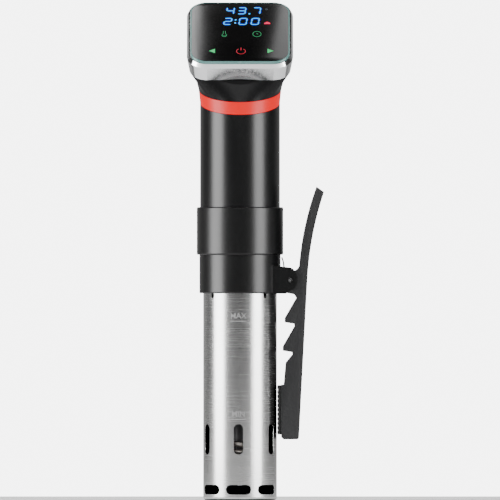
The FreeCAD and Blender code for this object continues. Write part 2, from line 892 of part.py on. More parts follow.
def make_shaft_line():
    """Guide tube and bush that stand still, and the drive shaft, impeller and nut that turn."""
    ring_of("shaft_tube", "guide_bore", "guide_radius", "guide_end", "guide_top")
    ring_of("lower_bush", "shaft_bore", "guide_bore", "guide_end", "guide_end + bush_height")
    node(
        "drive_shaft",
        cylinder("shaft_radius", "coupling_middle - coupling_gap / 2 - shaft_end", z="shaft_end"),
    )
    body = new_body("impeller")
    top = "impeller_bottom + impeller_height"
    steps = [
        ("shaft_radius", "impeller_bottom"),
        ("impeller_hub", "impeller_bottom"),
        ("impeller_hub", f"{top} - impeller_plate"),
        ("impeller_radius", f"{top} - impeller_plate"),
        ("impeller_radius", top),
        ("shaft_radius", top),
    ]
    revolve(body, steps)
    blade = rectangle(
        new_sketch(body, "XY_Plane", "impeller_bottom"),
        "impeller_hub - 1",
        "-blade_thick / 2",
        "impeller_radius - 0.5",
        "blade_thick / 2",
    )
    around(body, pad(body, blade, "impeller_height - impeller_plate / 2"), 6)
    nut = new_body("impeller_nut")
    half = "nut_half"
    side = "nut_half * 1.1547"
    steps = [
        (side, "0"),
        (f"{side} / 2", half),
        (f"-{side} / 2", half),
        (f"-{side}", "0"),
        (f"-{side} / 2", f"-{half}"),
        (f"{side} / 2", f"-{half}"),
    ]
    hexagon = outline(new_sketch(nut, "XY_Plane", "impeller_bottom - nut_height"), steps)
    pad(nut, hexagon, "nut_height")
    bore = circle(new_sketch(nut, "XY_Plane", "impeller_bottom"), "0", "0", "shaft_radius")
    pocket(nut, bore)


# ---------------------------------------------------------------- motor


def make_motor():
    """Brushed motor on a deck plate, with its fan and coupling."""
    deck = new_body("motor_bracket")
    revolve(
        deck,
        [
            ("deck_opening", "deck_level"),
            ("deck_radius", "deck_level"),
            ("deck_radius", "deck_top"),
            ("deck_opening", "deck_top"),
        ],
    )
    hole = circle(new_sketch(deck, "XY_Plane", "deck_top"), "-post_circle", "0", "screw_radius + screw_fit")
    around(deck, pocket(deck, hole), 3)
    screws = [
        screw(
            "screw_radius - screw_fit",
            "deck_thick + 9",
            "screw_head",
            "screw_head_height",
            x,
            y,
            "deck_top",
            Vector(0, 0, -1),
        )
        for x, y, angle in on_circle(3, "post_circle", 180)
    ]
    collection("bracket_screws", screws)

    seat = "bearing_radius"
    turned(
        "motor_end_cap",
        [
            ("motor_shaft_radius + 1", "deck_top"),
            ("motor_radius", "deck_top"),
            ("motor_radius", "can_bottom"),
            (seat, "can_bottom"),
            (seat, "can_bottom - bearing_height"),
            ("motor_shaft_radius + 1", "can_bottom - bearing_height"),
        ],
    )
    top_seat = "motor_top - motor_wall - bearing_height"
    turned(
        "motor_can",
        [
            ("motor_radius - motor_wall", "can_bottom"),
            ("motor_radius", "can_bottom"),
            ("motor_radius", "motor_top"),
            ("motor_shaft_radius + 1", "motor_top"),
            ("motor_shaft_radius + 1", "motor_top - motor_wall"),
            (seat, "motor_top - motor_wall"),
            (seat, top_seat),
            (f"{seat} + 1.2", top_seat),
            (f"{seat} + 1.2", "motor_top - motor_wall"),
            ("motor_radius - motor_wall", "motor_top - motor_wall"),
        ],
    )
    bearings = []
    for bottom in ("can_bottom - bearing_height", top_seat):
        ring = cylinder("bearing_radius", "bearing_height", z=bottom)
        bore = cylinder("motor_shaft_radius + shaft_fit", "bearing_height", z=bottom)
        bearings.append(cut(ring, bore))
    collection("motor_bearings", bearings)

    middle = "can_bottom + motor_height / 2"
    magnet_tube = cut(
        cylinder("motor_radius - motor_wall", "rotor_height + 2", z=f"{middle} - rotor_height / 2 - 1"),
        cylinder(
            "motor_radius - motor_wall - magnet_thick",
            "rotor_height + 2",
            z=f"{middle} - rotor_height / 2 - 1",
        ),
    )
    gap = block("3 * motor_radius", "magnet_split", "motor_height", "0", "0", "can_bottom")
    node("motor_magnets", cut(magnet_tube, gap))

    rotor = new_body("rotor_core")
    low, high = f"{middle} - rotor_height / 2", f"{middle} + rotor_height / 2"
    revolve(
        rotor,
        [
            ("motor_shaft_radius", low),
            ("rotor_radius", low),
            ("rotor_radius", high),
            ("motor_shaft_radius", high),
        ],
    )
    groove = rectangle(
        new_sketch(rotor, "XY_Plane", high),
        "rotor_radius / 2",
        "-rotor_slot / 2",
        "rotor_radius + 1",
        "rotor_slot / 2",
    )
    around(rotor, pocket(rotor, groove), 5)

    shaft_low = "(coupling_middle + coupling_gap / 2)"
    node(
        "motor_shaft",
        cylinder("motor_shaft_radius", f"motor_top + motor_shaft_above - {shaft_low}", z=shaft_low),
    )
    turned(
        "shaft_coupling",
        [
            ("shaft_radius", "coupling_bottom"),
            ("coupling_radius", "coupling_bottom"),
            ("coupling_radius", "coupling_bottom + coupling_height"),
            ("motor_shaft_radius", "coupling_bottom + coupling_height"),
            ("motor_shaft_radius", "coupling_middle"),
            ("shaft_radius", "coupling_middle"),
        ],
    )
    fan = new_body("cooling_fan")
    fan_low = "motor_top + 2"
    revolve(
        fan,
        [
            ("motor_shaft_radius", fan_low),
            ("fan_hub", fan_low),
            ("fan_hub", f"{fan_low} + 1.2"),
            ("fan_radius", f"{fan_low} + 1.2"),
            ("fan_radius", f"{fan_low} + 2.2"),
            ("fan_hub", f"{fan_low} + 2.2"),
            ("fan_hub", f"{fan_low} + fan_height"),
            ("motor_shaft_radius", f"{fan_low} + fan_height"),
        ],
    )
    blade = rectangle(
        new_sketch(fan, "XY_Plane", f"{fan_low} + 1.7"),
        "fan_hub - 1",
        "-0.5",
        "fan_radius - 0.5",
        "0.5",
    )
    around(fan, pad(fan, blade, "fan_height - 1.7"), 9)


# ---------------------------------------------------------------- upper tube


def make_tube():
    """Upper housing with a shelf for the power board and a slanted top."""
    body = new_body("upper_housing")
    shelf = "board_level - ledge_thick"
    steps = [
        ("tube_bore", "tube_bottom"),
        ("tube_radius", "tube_bottom"),
        ("tube_radius", "head_height"),
        ("tube_bore", "head_height"),
        ("tube_bore", "board_level"),
        ("tube_bore - ledge_width", "board_level"),
        ("tube_bore - ledge_width", shelf),
        ("tube_bore", f"{shelf} - ledge_width"),
    ]
    revolve(body, steps)
    tilted_cut(body, "ring_bottom - ring_seam", "ring_tilt")
    fixing = circle(new_sketch(body, "XZ_Plane"), "0", "fixing_level", "screw_radius + screw_fit")
    around(body, pocket(body, fixing, reverse=True), 3)
    seat = new_sketch(body, "XZ_Plane", "fixing_seat")
    sink = circle(seat, "0", "fixing_level", "screw_head + screw_fit")
    around(body, pocket(body, sink, reverse=True), 3)


def make_collar():
    """Collar band with an inner flange, and the clip sleeve with its ears below it."""
    band = new_body("collar_band")
    steps = [
        ("band_bore", "band_bottom"),
        ("band_radius - band_round", "band_bottom", "band_round", 1),
        ("band_radius", "band_bottom + band_round"),
        ("band_radius", "band_top - band_round", "band_round", 1),
        ("band_radius - band_round", "band_top"),
        ("tube_radius + tube_fit", "band_top"),
        ("tube_radius + tube_fit", "tube_bottom"),
        ("band_bore", "tube_bottom"),
    ]
    revolve(band, steps)
    middle = "(sleeve_bore + sleeve_radius) / 2"
    for radius, top, depth in (
        ("small_screw_radius + screw_fit", "tube_bottom", None),
        ("small_screw_head + screw_fit", "tube_bottom", "small_screw_head_height + screw_fit"),
    ):
        hole = circle(new_sketch(band, "XY_Plane", top), f"-({middle})", "0", radius)
        around(band, pocket(band, hole, depth), 3)

    sleeve = new_body("clip_sleeve")
    lower_round = "1"
    steps = [
        ("sleeve_bore", "sleeve_bottom"),
        (f"sleeve_radius - {lower_round}", "sleeve_bottom", lower_round, 1),
        ("sleeve_radius", f"sleeve_bottom + {lower_round}"),
        ("sleeve_radius", "band_bottom"),
        ("sleeve_bore", "band_bottom"),
    ]
    revolve(sleeve, steps)
    ear = [
        ("ear_root", "sleeve_bottom - 0.3"),
        ("pin_offset - 3.6", "sleeve_bottom - 0.3"),
        ("pin_offset", "pin_height - 8.4"),
        ("pin_offset + 3.2", "pin_height - 6.6", "10.5", 1),
        ("pin_offset + ear_nose", "pin_height", "11", 1),
        ("pin_offset + 4.0", "pin_height + 6.3", "6", 1),
        ("pin_offset + 0.2", "pin_height + 9.9"),
        ("ear_root", "pin_height + ear_top"),
    ]
    ears = outline(new_sketch(sleeve, "XZ_Plane"), ear)
    pad(sleeve, ears, "2 * ear_outer", both_sides=True)
    gap = rectangle(
        new_sketch(sleeve, "XZ_Plane"),
        "0",
        "sleeve_bottom - 2",
        "pin_offset + 2 * ear_nose",
        "pin_height + ear_top + 2",
    )
    pocket(sleeve, gap, "2 * (ear_outer - ear_thick)", both_sides=True)
    refill = outline(
        new_sketch(sleeve, "XZ_Plane"),
        [
            ("sleeve_bore", "sleeve_bottom + 1"),
            ("sleeve_radius", "sleeve_bottom + 1"),
            ("sleeve_radius", "band_bottom"),
            ("sleeve_bore", "band_bottom"),
        ],
    )
    wall = sleeve.newObject("PartDesign::Revolution", "Wall")
    wall.Profile = refill
    wall.ReferenceAxis = (refill, ["V_Axis"])
    wall.Angle = 360
    bore = circle(new_sketch(sleeve, "XY_Plane"), "0", "0", "sleeve_bore")
    pocket(sleeve, bore, "3 * band_bottom", both_sides=True)
    pin_hole = circle(new_sketch(sleeve, "XZ_Plane"), "pin_offset", "pin_height", "pin_bore")
    pocket(sleeve, pin_hole, "4 * ear_outer", both_sides=True)
    for side in (1, -1):
        sink = circle(
            new_sketch(sleeve, "XZ_Plane", f"{side} * (ear_outer - pin_recess_depth)"),
            "pin_offset",
            "pin_height",
            "pin_recess",
        )
        pocket(sleeve, sink, "pin_recess_depth + 1", reverse=side > 0)
    pilot = circle(new_sketch(sleeve, "XY_Plane", "band_bottom"), f"-({middle})", "0", "small_screw_radius")
    around(sleeve, pocket(sleeve, pilot, "8"), 3)

    screws = [
        screw(
            "small_screw_radius",
            "8",
            "small_screw_head",
            "small_screw_head_height",
            x,
            y,
            "tube_bottom - small_screw_head_height - screw_fit",
            Vector(0, 0, -1),
        )
        for x, y, angle in on_circle(3, middle, 180)
    ]
    collection("sleeve_screws", screws)


def make_housing_screws():
    """Three short screws through the tube's foot into the bulkhead, hidden by the band."""
    screws = []
    for x, y, angle in on_circle(3, "fixing_seat", 270):
        outward = Rotation(Vector(0, 0, 1), angle).multVec(Vector(1, 0, 0))
        screws.append(
            screw(
                "screw_radius",
                "fixing_seat - core_flange + fixing_depth - 0.2",
                "screw_head",
                "tube_radius - fixing_seat - screw_fit",
                x,
                y,
                "fixing_level",
                outward * -1,
            )
        )
    collection("housing_screws", screws)


def make_power_board():
    """Round power board on the shelf, with the tall parts that stand on it."""
    board = new_body("power_board")
    rim = "tube_bore - board_gap"
    circle_sketch = circle(new_sketch(board, "XY_Plane", "board_level"), "0", "0", rim)
    pad(board, circle_sketch, "board_thick")
    width = "transformer_width"
    node("transformer", block(width, width, "transformer_height", "transformer_x", "transformer_y", "board_top"))
    place = ("capacitor_x", "capacitor_y", "board_top")
    node("filter_capacitor", cylinder("capacitor_radius", "capacitor_height", *place))
    place = ("relay_x", "relay_y", "board_top")
    node("heater_relay", block("relay_width", "relay_length", "relay_height", *place))
    fuse_level = "board_top + fuse_radius"
    fuse = cylinder("fuse_radius", "fuse_length", "-fuse_x", "-fuse_y", fuse_level, Vector(1, 0, 0))
    node("mains_fuse", fuse)
    sink = new_body("heat_sink")
    steps = [("0", "0"), ("sink_width", "0")]
    fins = 5
    pitch = f"(sink_width - sink_fin_thick) / {fins - 1}"
    for fin in reversed(range(fins)):
        right = f"{fin} * {pitch} + sink_fin_thick"
        left = f"{fin} * {pitch}"
        if fin < fins - 1:
            steps.append((right, "sink_base"))
        steps.append((right, "sink_base + sink_fin"))
        steps.append((left, "sink_base + sink_fin"))
        if fin > 0:
            steps.append((left, "sink_base"))
    comb = outline(new_sketch(sink, "XY_Plane", "board_top"), steps)
    pad(sink, comb, "sink_height")
    sink.setExpression("Placement.Base.x", bound("sink_shift - sink_width / 4"))
    sink.setExpression("Placement.Base.y", bound("tube_bore / 2"))


# ---------------------------------------------------------------- light ring and head


def make_light_ring():
    """Glowing ring between tube and head, its lower spigot, and the board of lamps inside it."""
    ring = tilted_tube(
        "tube_radius", "ring_top_radius", "ring_bore", "ring_bore", "ring_bottom", "ring_top"
    )
    spigot_outer = "tube_bore - tube_fit"
    spigot_inner = f"{spigot_outer} - spigot_wall"
    spigot = tilted_tube(
        spigot_outer, spigot_outer, spigot_inner, spigot_inner, "ring_bottom - ring_spigot", "ring_bottom + 1"
    )
    ledge = tilted_tube(
        "ring_bore + 0.2",
        "ring_bore + 0.2",
        "ring_bore - ring_ledge",
        "ring_bore - ring_ledge",
        "ring_bottom",
        "ring_bottom + 1.5",
    )
    shaped("status_light_ring", ring.fuse([spigot, ledge]).removeSplitter())
    board = tilted_tube(
        "ring_bore - board_gap",
        "ring_bore - board_gap",
        "ring_bore - 2 * ring_ledge",
        "ring_bore - 2 * ring_ledge",
        "ring_bottom + 1.5",
        "ring_bottom + 1.5 + ring_board_thick",
    )
    shaped("light_ring_board", board)


def head_place():
    """Where the head's own frame lies: origin at the middle of the glass, Z out of it."""
    centre = Vector(0, -size("head_forward"), size("head_height"))
    return Placement(centre, Rotation(Vector(1, 0, 0), size("head_tilt")))


def head_section(half_x, half_y, corner, level):
    """Round-cornered section of the head at a depth below the glass, as eight edges."""
    inner_x, inner_y = half_x - corner, half_y - corner
    quarter = corner * math.sqrt(0.5)
    edges = []
    for sign_x, sign_y in ((1, -1), (1, 1), (-1, 1), (-1, -1)):
        centre = Vector(sign_x * inner_x, sign_y * inner_y, level)
        ends = [centre + Vector(0, sign_y * corner, 0), centre + Vector(sign_x * corner, 0, 0)]
        if sign_x * sign_y > 0:
            ends.reverse()
        middle = centre + Vector(sign_x * quarter, sign_y * quarter, 0)
        edges.append(Part.Arc(ends[0], middle, ends[1]).toShape())
    joined = []
    for index, arc in enumerate(edges):
        joined.append(arc)
        after = edges[(index + 1) % 4]
        joined.append(Part.makeLine(arc.Vertexes[1].Point, after.Vertexes[0].Point))
    wire = Part.Wire(joined)
    wire.Placement = head_place()
    return wire


def ring_section(radius, level):
    """The light ring's top edge, split where the head's corners start and end."""
    ellipse = round_section(radius, level, "ring_tilt")
    half_corner = 12.0
    marks = []
    for corner in (-45, 45, 135, 225):
        marks += [corner - half_corner, corner + half_corner]
    points = []
    for mark in marks:
        angle = math.radians(mark)
        reach = size(radius)
        lift = math.tan(math.radians(size("ring_tilt")))
        points.append(
            Vector(
                reach * math.cos(angle),
                reach * math.sin(angle),
                size(level) + reach * math.sin(angle) * lift,
            )
        )
    parameters = [ellipse.parameter(point) for point in points]
    edges = []
    for index, start in enumerate(parameters):
        end = parameters[(index + 1) % len(parameters)]
        if end < start:
            end += 2 * math.pi
        edges.append(Part.ArcOfEllipse(ellipse, start, end).toShape())
    return Part.Wire(edges)


def boss_places():
    """The two front screw bosses of the neck: the foot of each, square to the head."""
    for side in (1, -1):
        foot = Vector(side * size("boss_x"), size("boss_y"), -size("bezel_foot + boss_length"))
        yield head_place().multiply(Placement(foot, Rotation()))


def make_neck():
    """Black shell that grows from the round light ring to the square head."""
    depth = -size("bezel_foot")
    half_x, half_y = size("foot_half_width"), size("foot_half_length")
    corner, wall = size("foot_corner"), size("neck_wall")
    outer = Part.makeLoft(
        [
            ring_section("ring_top_radius", "ring_top + ring_seam"),
            head_section(half_x, half_y, corner, depth),
        ],
        True,
        True,
    )
    inner = Part.makeLoft(
        [
            ring_section("ring_bore - 0.1 - spigot_wall", "ring_top + ring_seam"),
            head_section(half_x - wall, half_y - wall, corner - wall, depth),
        ],
        True,
        True,
    )
    shell = outer.cut(inner)
    spigot = tilted_tube(
        "ring_bore - 0.1",
        "ring_bore - 0.1",
        "ring_bore - 0.1 - spigot_wall",
        "ring_bore - 0.1 - spigot_wall",
        "ring_top - 4",
        "ring_top + ring_seam + 1",
    )
    bosses = []
    holes = []
    for place in boss_places():
        boss = Part.makeCylinder(size("boss_radius"), size("boss_length"))
        boss.Placement = place
        hole = Part.makeCylinder(size("screw_radius + screw_fit"), size("boss_length") + 1)
        hole.Placement = place
        bosses.append(boss.common(outer))
        holes.append(hole)
    shell = shell.fuse([spigot] + bosses)
    recess_radius = (size("recess_half_width") ** 2 + size("recess_drop") ** 2) / (2 * size("recess_drop"))
    foot = head_place().multVec(Vector(0, -half_y, depth))
    recess = Part.makeCylinder(
        recess_radius,
        12,
        Vector(0, foot.y - 12 + size("recess_depth"), foot.z - size("recess_drop") + recess_radius),
        Vector(0, 1, 0),
    )
    gland_centre = Vector(0, size("gland_seat"), size("gland_height"))
    gland_hole = Part.makeCylinder(size("gland_radius + screw_fit"), 15, gland_centre, Vector(0, -1, 0))
    gland_face = Part.makeCylinder(size("gland_collar + screw_fit"), 5, gland_centre, Vector(0, 1, 0))
    shaped("head_shell", shell.cut(holes + [recess, gland_hole, gland_face]).removeSplitter())
    screws = []
    for place in boss_places():
        shank = Part.makeCylinder(size("screw_radius"), 2 * size("boss_length"))
        head = Part.makeCylinder(size("screw_head"), size("screw_head_height"), Vector(), Vector(0, 0, -1))
        body = shank.fuse(head)
        body.Placement = place
        screws.append(body)
    shaped("bezel_screws", Part.Compound(screws))


def make_bezel():
    """Chrome frame: a flat lip round the glass, a bright chamfer and a drawn-in wall."""
    body = place_on_head(new_body("head_bezel"))
    rim = "glass_corner + rim_width"
    lip_x, lip_y = "glass_width / 2 + lip_width", "glass_length / 2 + lip_width"

    def section(half_x, half_y, corner, depth):
        return rounded_rectangle(new_sketch(body, "XY_Plane", f"-({depth})"), half_x, half_y, corner)

    loft(
        body,
        section("rim_half_width", "rim_half_length", rim, "rim_drop"),
        section(lip_x, lip_y, "glass_corner + lip_width", "glass_proud"),
    )
    loft(
        body,
        section("foot_half_width", "foot_half_length", "foot_corner", "bezel_foot"),
        section("rim_half_width", "rim_half_length", rim, "rim_drop"),
    )
    seat_x, seat_y = "glass_width / 2 + seat_gap", "glass_length / 2 + seat_gap"
    pocket(body, section(seat_x, seat_y, "glass_corner + seat_gap", "0"), "seat_depth")
    window = section(
        "glass_width / 2 - seat_width", "glass_length / 2 - seat_width", "glass_corner - seat_width", "0"
    )
    pocket(body, window, "shelf_depth")
    hollow = section(
        "foot_half_width - bezel_wall",
        "foot_half_length - bezel_wall",
        "foot_corner - bezel_wall",
        "shelf_depth",
    )
    pocket(body, hollow)
    for x in ("boss_x", "-boss_x"):
        post = circle(new_sketch(body, "XY_Plane", "-bezel_foot"), x, "boss_y", "boss_radius")
        pad(body, post, "bezel_foot - shelf_depth")
        pilot = circle(new_sketch(body, "XY_Plane", "8 - bezel_foot"), x, "boss_y", "screw_radius")
        pocket(body, pilot)


def make_panel():
    """Touch glass, its adhesive frame, the control board with display and buzzer."""
    glass = place_on_head(new_body("touch_glass"))
    plate = rounded_rectangle(
        new_sketch(glass, "XY_Plane", "-glass_thick"), "glass_width / 2", "glass_length / 2", "glass_corner"
    )
    pad(glass, plate, "glass_thick")
    glue = place_on_head(new_body("glass_adhesive"))
    frame = rounded_rectangle(
        new_sketch(glue, "XY_Plane", "-seat_depth"), "glass_width / 2", "glass_length / 2", "glass_corner"
    )
    pad(glue, frame, "adhesive_thick")
    window = rounded_rectangle(
        new_sketch(glue, "XY_Plane", "0"),
        "glass_width / 2 - seat_width",
        "glass_length / 2 - seat_width",
        "glass_corner - seat_width",
    )
    pocket(glue, window)
    board_depth = "shelf_depth + panel_board_thick"
    board = place_on_head(new_body("control_board"))
    plate = rounded_rectangle(
        new_sketch(board, "XY_Plane", f"-({board_depth})"),
        "foot_half_width - bezel_wall - panel_board_gap",
        "-boss_y - boss_radius - panel_board_gap",
        "glass_corner / 2",
    )
    pad(board, plate, "panel_board_thick")
    display = place_on_head(new_body("display_module"))
    face = rounded_rectangle(
        new_sketch(display, "XY_Plane", "-shelf_depth"), "display_width / 2", "display_length / 2", "3"
    )
    pad(display, face, "shelf_depth - glass_thick - display_gap")
    buzzer = place_on_head(new_body("buzzer"))
    can = circle(
        new_sketch(buzzer, "XY_Plane", f"-({board_depth} + buzzer_height)"), "0", "-18", "buzzer_radius"
    )
    pad(buzzer, can, "buzzer_height")


def make_gland():
    """Cord gland through the back of the neck, and the nut that holds it from inside."""
    gland = new_body("cord_gland")
    seat = "gland_seat"
    steps = [
        ("gland_bore", f"{seat} - gland_inside"),
        ("gland_radius", f"{seat} - gland_inside"),
        ("gland_radius", seat),
        ("gland_collar", seat),
        ("gland_collar - 1", f"{seat} + gland_proud"),
        ("gland_bore", f"{seat} + gland_proud"),
    ]
    revolve(gland, steps)
    nut = new_body("gland_nut")
    inner_face = "gland_seat - neck_wall - gland_nut_gap"
    revolve(
        nut,
        [
            ("gland_radius", f"{inner_face} - gland_nut_height"),
            ("gland_collar", f"{inner_face} - gland_nut_height"),
            ("gland_collar", inner_face),
            ("gland_radius", inner_face),
        ],
    )
    for body in (gland, nut):
        body.Placement = Placement(Vector(0, 0, 0), Rotation(Vector(1, 0, 0), -90))
        body.setExpression("Placement.Base.z", bound("gland_height"))


# ---------------------------------------------------------------- pot clip


def lever_steps():
    """Lever outline in front view: back, thumb arm, hub, two teeth and the jaw block."""
    steps = [
        (
            "pin_offset + lever_back - jaw_drop * tan(lever_lean) - lever_end",
            "pin_height - jaw_drop",
            "lever_end * 1.02",
            1,
        ),
        (
            "pin_offset + lever_back - jaw_drop * tan(lever_lean)",
            "pin_height - jaw_drop + lever_end",
        ),
        ("pin_offset + lever_back", "pin_height", "arm_outer_bend", -1),
        ("pin_offset + arm_reach", "pin_height + arm_rise - arm_tip_slant"),
        ("pin_offset + arm_reach - arm_tip", "pin_height + arm_rise", "arm_inner_bend", 1),
        ("pin_offset + arm_root", "pin_height + arm_root_rise", "5", -1),
        ("pin_offset + 3.4", "pin_height + 7.6"),
        ("pin_offset", "pin_height + hub_radius", "hub_radius", 1),
        ("pin_offset - hub_radius", "pin_height"),
        ("pin_offset - 3", "pin_height - 10.2"),
        ("pin_offset + 3", "pin_height - 11.3"),
    ]
    for tooth in range(2):
        start = f"pin_height - tooth_start - {tooth} * tooth_pitch"
        root = f"pin_offset + tooth_root - {tooth} * tooth_shift"
        tip = f"pin_offset - tooth_tip - {tooth} * tooth_shift"
        low = f"{start} - tooth_slope - tooth_flat"
        steps += [
            (root, start),
            (tip, f"{start} - tooth_slope"),
            (tip, low),
            (f"{root} - 1.8", f"{low} - 1.2"),
        ]
    jaw = "pin_offset - pad_seat"
    steps += [
        ("pin_offset + tooth_root - 2.1 * tooth_shift", "pin_height - tooth_start - 2 * tooth_pitch"),
        ("pin_offset - 3.6", "pin_height - pad_top + 17.4"),
        ("pin_offset - 5.1", "pin_height - pad_top"),
        (jaw, "pin_height - pad_top"),
        (jaw, "pin_height - jaw_drop + lever_end"),
        (f"{jaw} + lever_end", "pin_height - jaw_drop"),
    ]
    return steps


def make_clip():
    """Sprung lever with its rubber pad, hinge pin, retaining clip and torsion spring."""
    lever = new_body("clip_lever")
    pad(lever, outline(new_sketch(lever, "XZ_Plane"), lever_steps()), "2 * lever_half", both_sides=True)
    pin_hole = circle(new_sketch(lever, "XZ_Plane"), "pin_offset", "pin_height", "pin_bore")
    pocket(lever, pin_hole, "4 * ear_outer", both_sides=True)
    spring_room = rectangle(
        new_sketch(lever, "XZ_Plane"),
        "pin_offset - 2 * hub_radius",
        "pin_height - 8.5",
        "pin_offset + hub_radius - 0.3",
        "pin_height + 12",
    )
    pocket(lever, spring_room, "2 * spring_slot", both_sides=True)

    rubber = new_body("clip_pad")
    face = "skirt_radius + pad_gap"
    low, high = "pin_height - jaw_drop + lever_end + 2", "pin_height - pad_top - 0.4"
    ribs = 11
    steps = [("pin_offset - pad_seat", low), ("pin_offset - pad_seat", high)]
    step = f"(({high}) - ({low})) / {ribs}"
    for rib in range(ribs):
        top = f"{high} - {rib} * {step}"
        steps.append((f"{face} + rib_depth", top))
        steps.append((face, f"{top} - {step} * 0.3"))
        steps.append((face, f"{top} - {step} * 0.7"))
    steps.append((f"{face} + rib_depth", low))
    profile = outline(new_sketch(rubber, "XZ_Plane"), steps)
    pad(rubber, profile, "2 * (lever_half - pad_side)", both_sides=True)

    along = Vector(0, 1, 0)
    half_pin = "ear_outer - 0.3"
    node(
        "hinge_pin",
        cylinder("pin_radius", f"2 * ({half_pin})", "pin_offset", f"-({half_pin})", "pin_height", along),
    )
    clip_start = "ear_outer - pin_recess_depth + screw_fit"
    ring = cylinder("pin_recess - 0.2", "0.5", "pin_offset", clip_start, "pin_height", along)
    bore = cylinder("pin_radius", "0.5", "pin_offset", clip_start, "pin_height", along)
    node("pin_clip", cut(ring, bore))
    make_spring()


def make_spring():
    """Torsion spring: a close coil round the pin, one leg up the sleeve and one behind the arm."""
    coil, wire, turns = size("spring_coil"), size("spring_wire"), size("spring_turns")
    reach = size("spring_slot") - size("spring_clearance") - wire
    centre = Vector(size("pin_offset"), 0, size("pin_height"))
    start, end = centre + Vector(0, -reach, coil), centre + Vector(-coil, reach, 0)
    helix = Part.makeHelix(2 * reach / turns, 2 * reach, coil, 0, True)
    helix.Placement = Placement(
        centre + Vector(0, -reach, 0), Rotation(Vector(0, 1, 0), -90) * Rotation(Vector(1, 0, 0), -90)
    )
    ring = Part.Wire(Part.makeCircle(wire, start, Vector(1, 0, 0)))
    wound = Part.Wire(helix.Edges).makePipeShell([ring], True, True)
    wall, top = size("sleeve_radius"), size("skirt_top")
    elbow = Vector(wall + size("spring_elbow_out"), reach, top - size("spring_elbow_down"))
    tip = Vector(wall + wire + size("spring_tip_gap"), reach, top - size("spring_tip_down"))
    leg = wire * size("spring_leg_ratio")
    joint = wire * size("spring_joint_ratio")
    pieces = [Part.makeSphere(wire, elbow), Part.makeSphere(joint, end), Part.makeSphere(joint, start)]
    for first, last in ((end, elbow), (elbow, tip)):
        pieces.append(Part.makeCylinder(leg, (last - first).Length, first, last - first))
    arm = Vector(size("spring_arm_run"), 0, size("spring_arm_rise"))
    pieces.append(Part.makeCylinder(leg, arm.Length, start, arm))
    shaped("clip_spring", wound.multiFuse(pieces))


# ---------------------------------------------------------------- build and export

make_skirt()
make_core()
make_seals()
make_heater()
make_probes()
make_shaft_line()
make_motor()
make_tube()
make_collar()
make_housing_screws()
make_power_board()
make_light_ring()
make_neck()
make_bezel()
make_panel()
make_gland()
make_clip()
document.recompute()

for thing in document.Objects:
    if "Invalid" in thing.State or "Error" in thing.State:
        raise RuntimeError(f"{thing.Label} ({thing.Name}) is {thing.State}")

os.makedirs("parts", exist_ok=True)
for label, thing in NODES.items():
    if thing.Shape.isNull() or not thing.Shape.isValid():
        raise RuntimeError(f"{label} has no valid shape")
    thing.Shape.exportStep(f"parts/{label}.step")
    print(f"{label:24s} {len(thing.Shape.Solids)} solid(s) {thing.Shape.Volume:10.1f} mm3")
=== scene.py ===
"""Sous vide circulator: finishes, printed and lit details, and a plain studio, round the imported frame."""

import logging
import math
from dataclasses import dataclass
from enum import Enum
from typing import Callable, Iterable, Sequence

import bmesh
import bpy
from mathutils import Matrix, Vector


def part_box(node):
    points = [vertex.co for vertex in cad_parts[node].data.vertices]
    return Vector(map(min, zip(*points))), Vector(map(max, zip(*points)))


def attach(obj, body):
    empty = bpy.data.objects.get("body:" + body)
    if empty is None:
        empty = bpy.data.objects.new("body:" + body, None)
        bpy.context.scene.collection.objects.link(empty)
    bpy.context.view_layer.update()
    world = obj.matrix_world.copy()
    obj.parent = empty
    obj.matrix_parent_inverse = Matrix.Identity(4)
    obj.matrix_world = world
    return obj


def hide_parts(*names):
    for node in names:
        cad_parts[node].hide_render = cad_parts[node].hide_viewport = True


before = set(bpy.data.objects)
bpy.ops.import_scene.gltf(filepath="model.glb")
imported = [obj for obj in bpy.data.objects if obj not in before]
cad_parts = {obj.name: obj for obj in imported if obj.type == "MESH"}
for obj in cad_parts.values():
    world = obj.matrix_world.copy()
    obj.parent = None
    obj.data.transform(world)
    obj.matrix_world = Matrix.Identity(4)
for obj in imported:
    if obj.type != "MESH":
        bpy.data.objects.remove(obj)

log = logging.getLogger("circulator")
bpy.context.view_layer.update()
MM = 0.001
WELD = 2e-6
TINY = 1e-6
FLAT_ANGLE = 0.4
BUMP_REACH = 0.0002
# painted shade: near-black that stands in for the shade on the skirt's inner wall
BORE_PAINTED_SHADE = (0.004, 0.004, 0.004, 1.0)
GLOW_SPREAD = 1.25
MIX_FACTOR, MIX_FIRST, MIX_SECOND, MIX_RESULT = 0, 6, 7, 2
Colour = tuple[float, float, float]
Place = tuple[float, float]
Steps = Sequence[Place]


# --- shader groups


class Socket(Enum):
    """Kinds of group socket, as Blender names them."""

    NUMBER = "NodeSocketFloat"
    COLOUR = "NodeSocketColor"
    VECTOR = "NodeSocketVector"


def new_group(name: str, inputs: dict[str, float], outputs: dict[str, Socket]) -> bpy.types.NodeTree:
    """Start a shader group with number inputs and the outputs named.

    Args:
        name: The group's name.
        inputs: Default value of each input.
        outputs: Kind of each output.

    Returns:
        The group, with its input and output nodes made.
    """
    group = bpy.data.node_groups.new(name, "ShaderNodeTree")
    for label, value in inputs.items():
        socket = group.interface.new_socket(label, in_out="INPUT", socket_type=Socket.NUMBER.value)
        socket.default_value = value
    for label, kind in outputs.items():
        group.interface.new_socket(label, in_out="OUTPUT", socket_type=kind.value)
    group.nodes.new("NodeGroupInput")
    group.nodes.new("NodeGroupOutput")
    return group


def add_node(tree: bpy.types.NodeTree, kind: str, **settings: object) -> bpy.types.Node:
    """Add a node and set its properties.

    Args:
        tree: The material's or group's tree.
        kind: Blender's node type.
        settings: Properties to set on the node.

    Returns:
        The new node.
    """
    node = tree.nodes.new(kind)
    for key, value in settings.items():
        setattr(node, key, value)
    return node


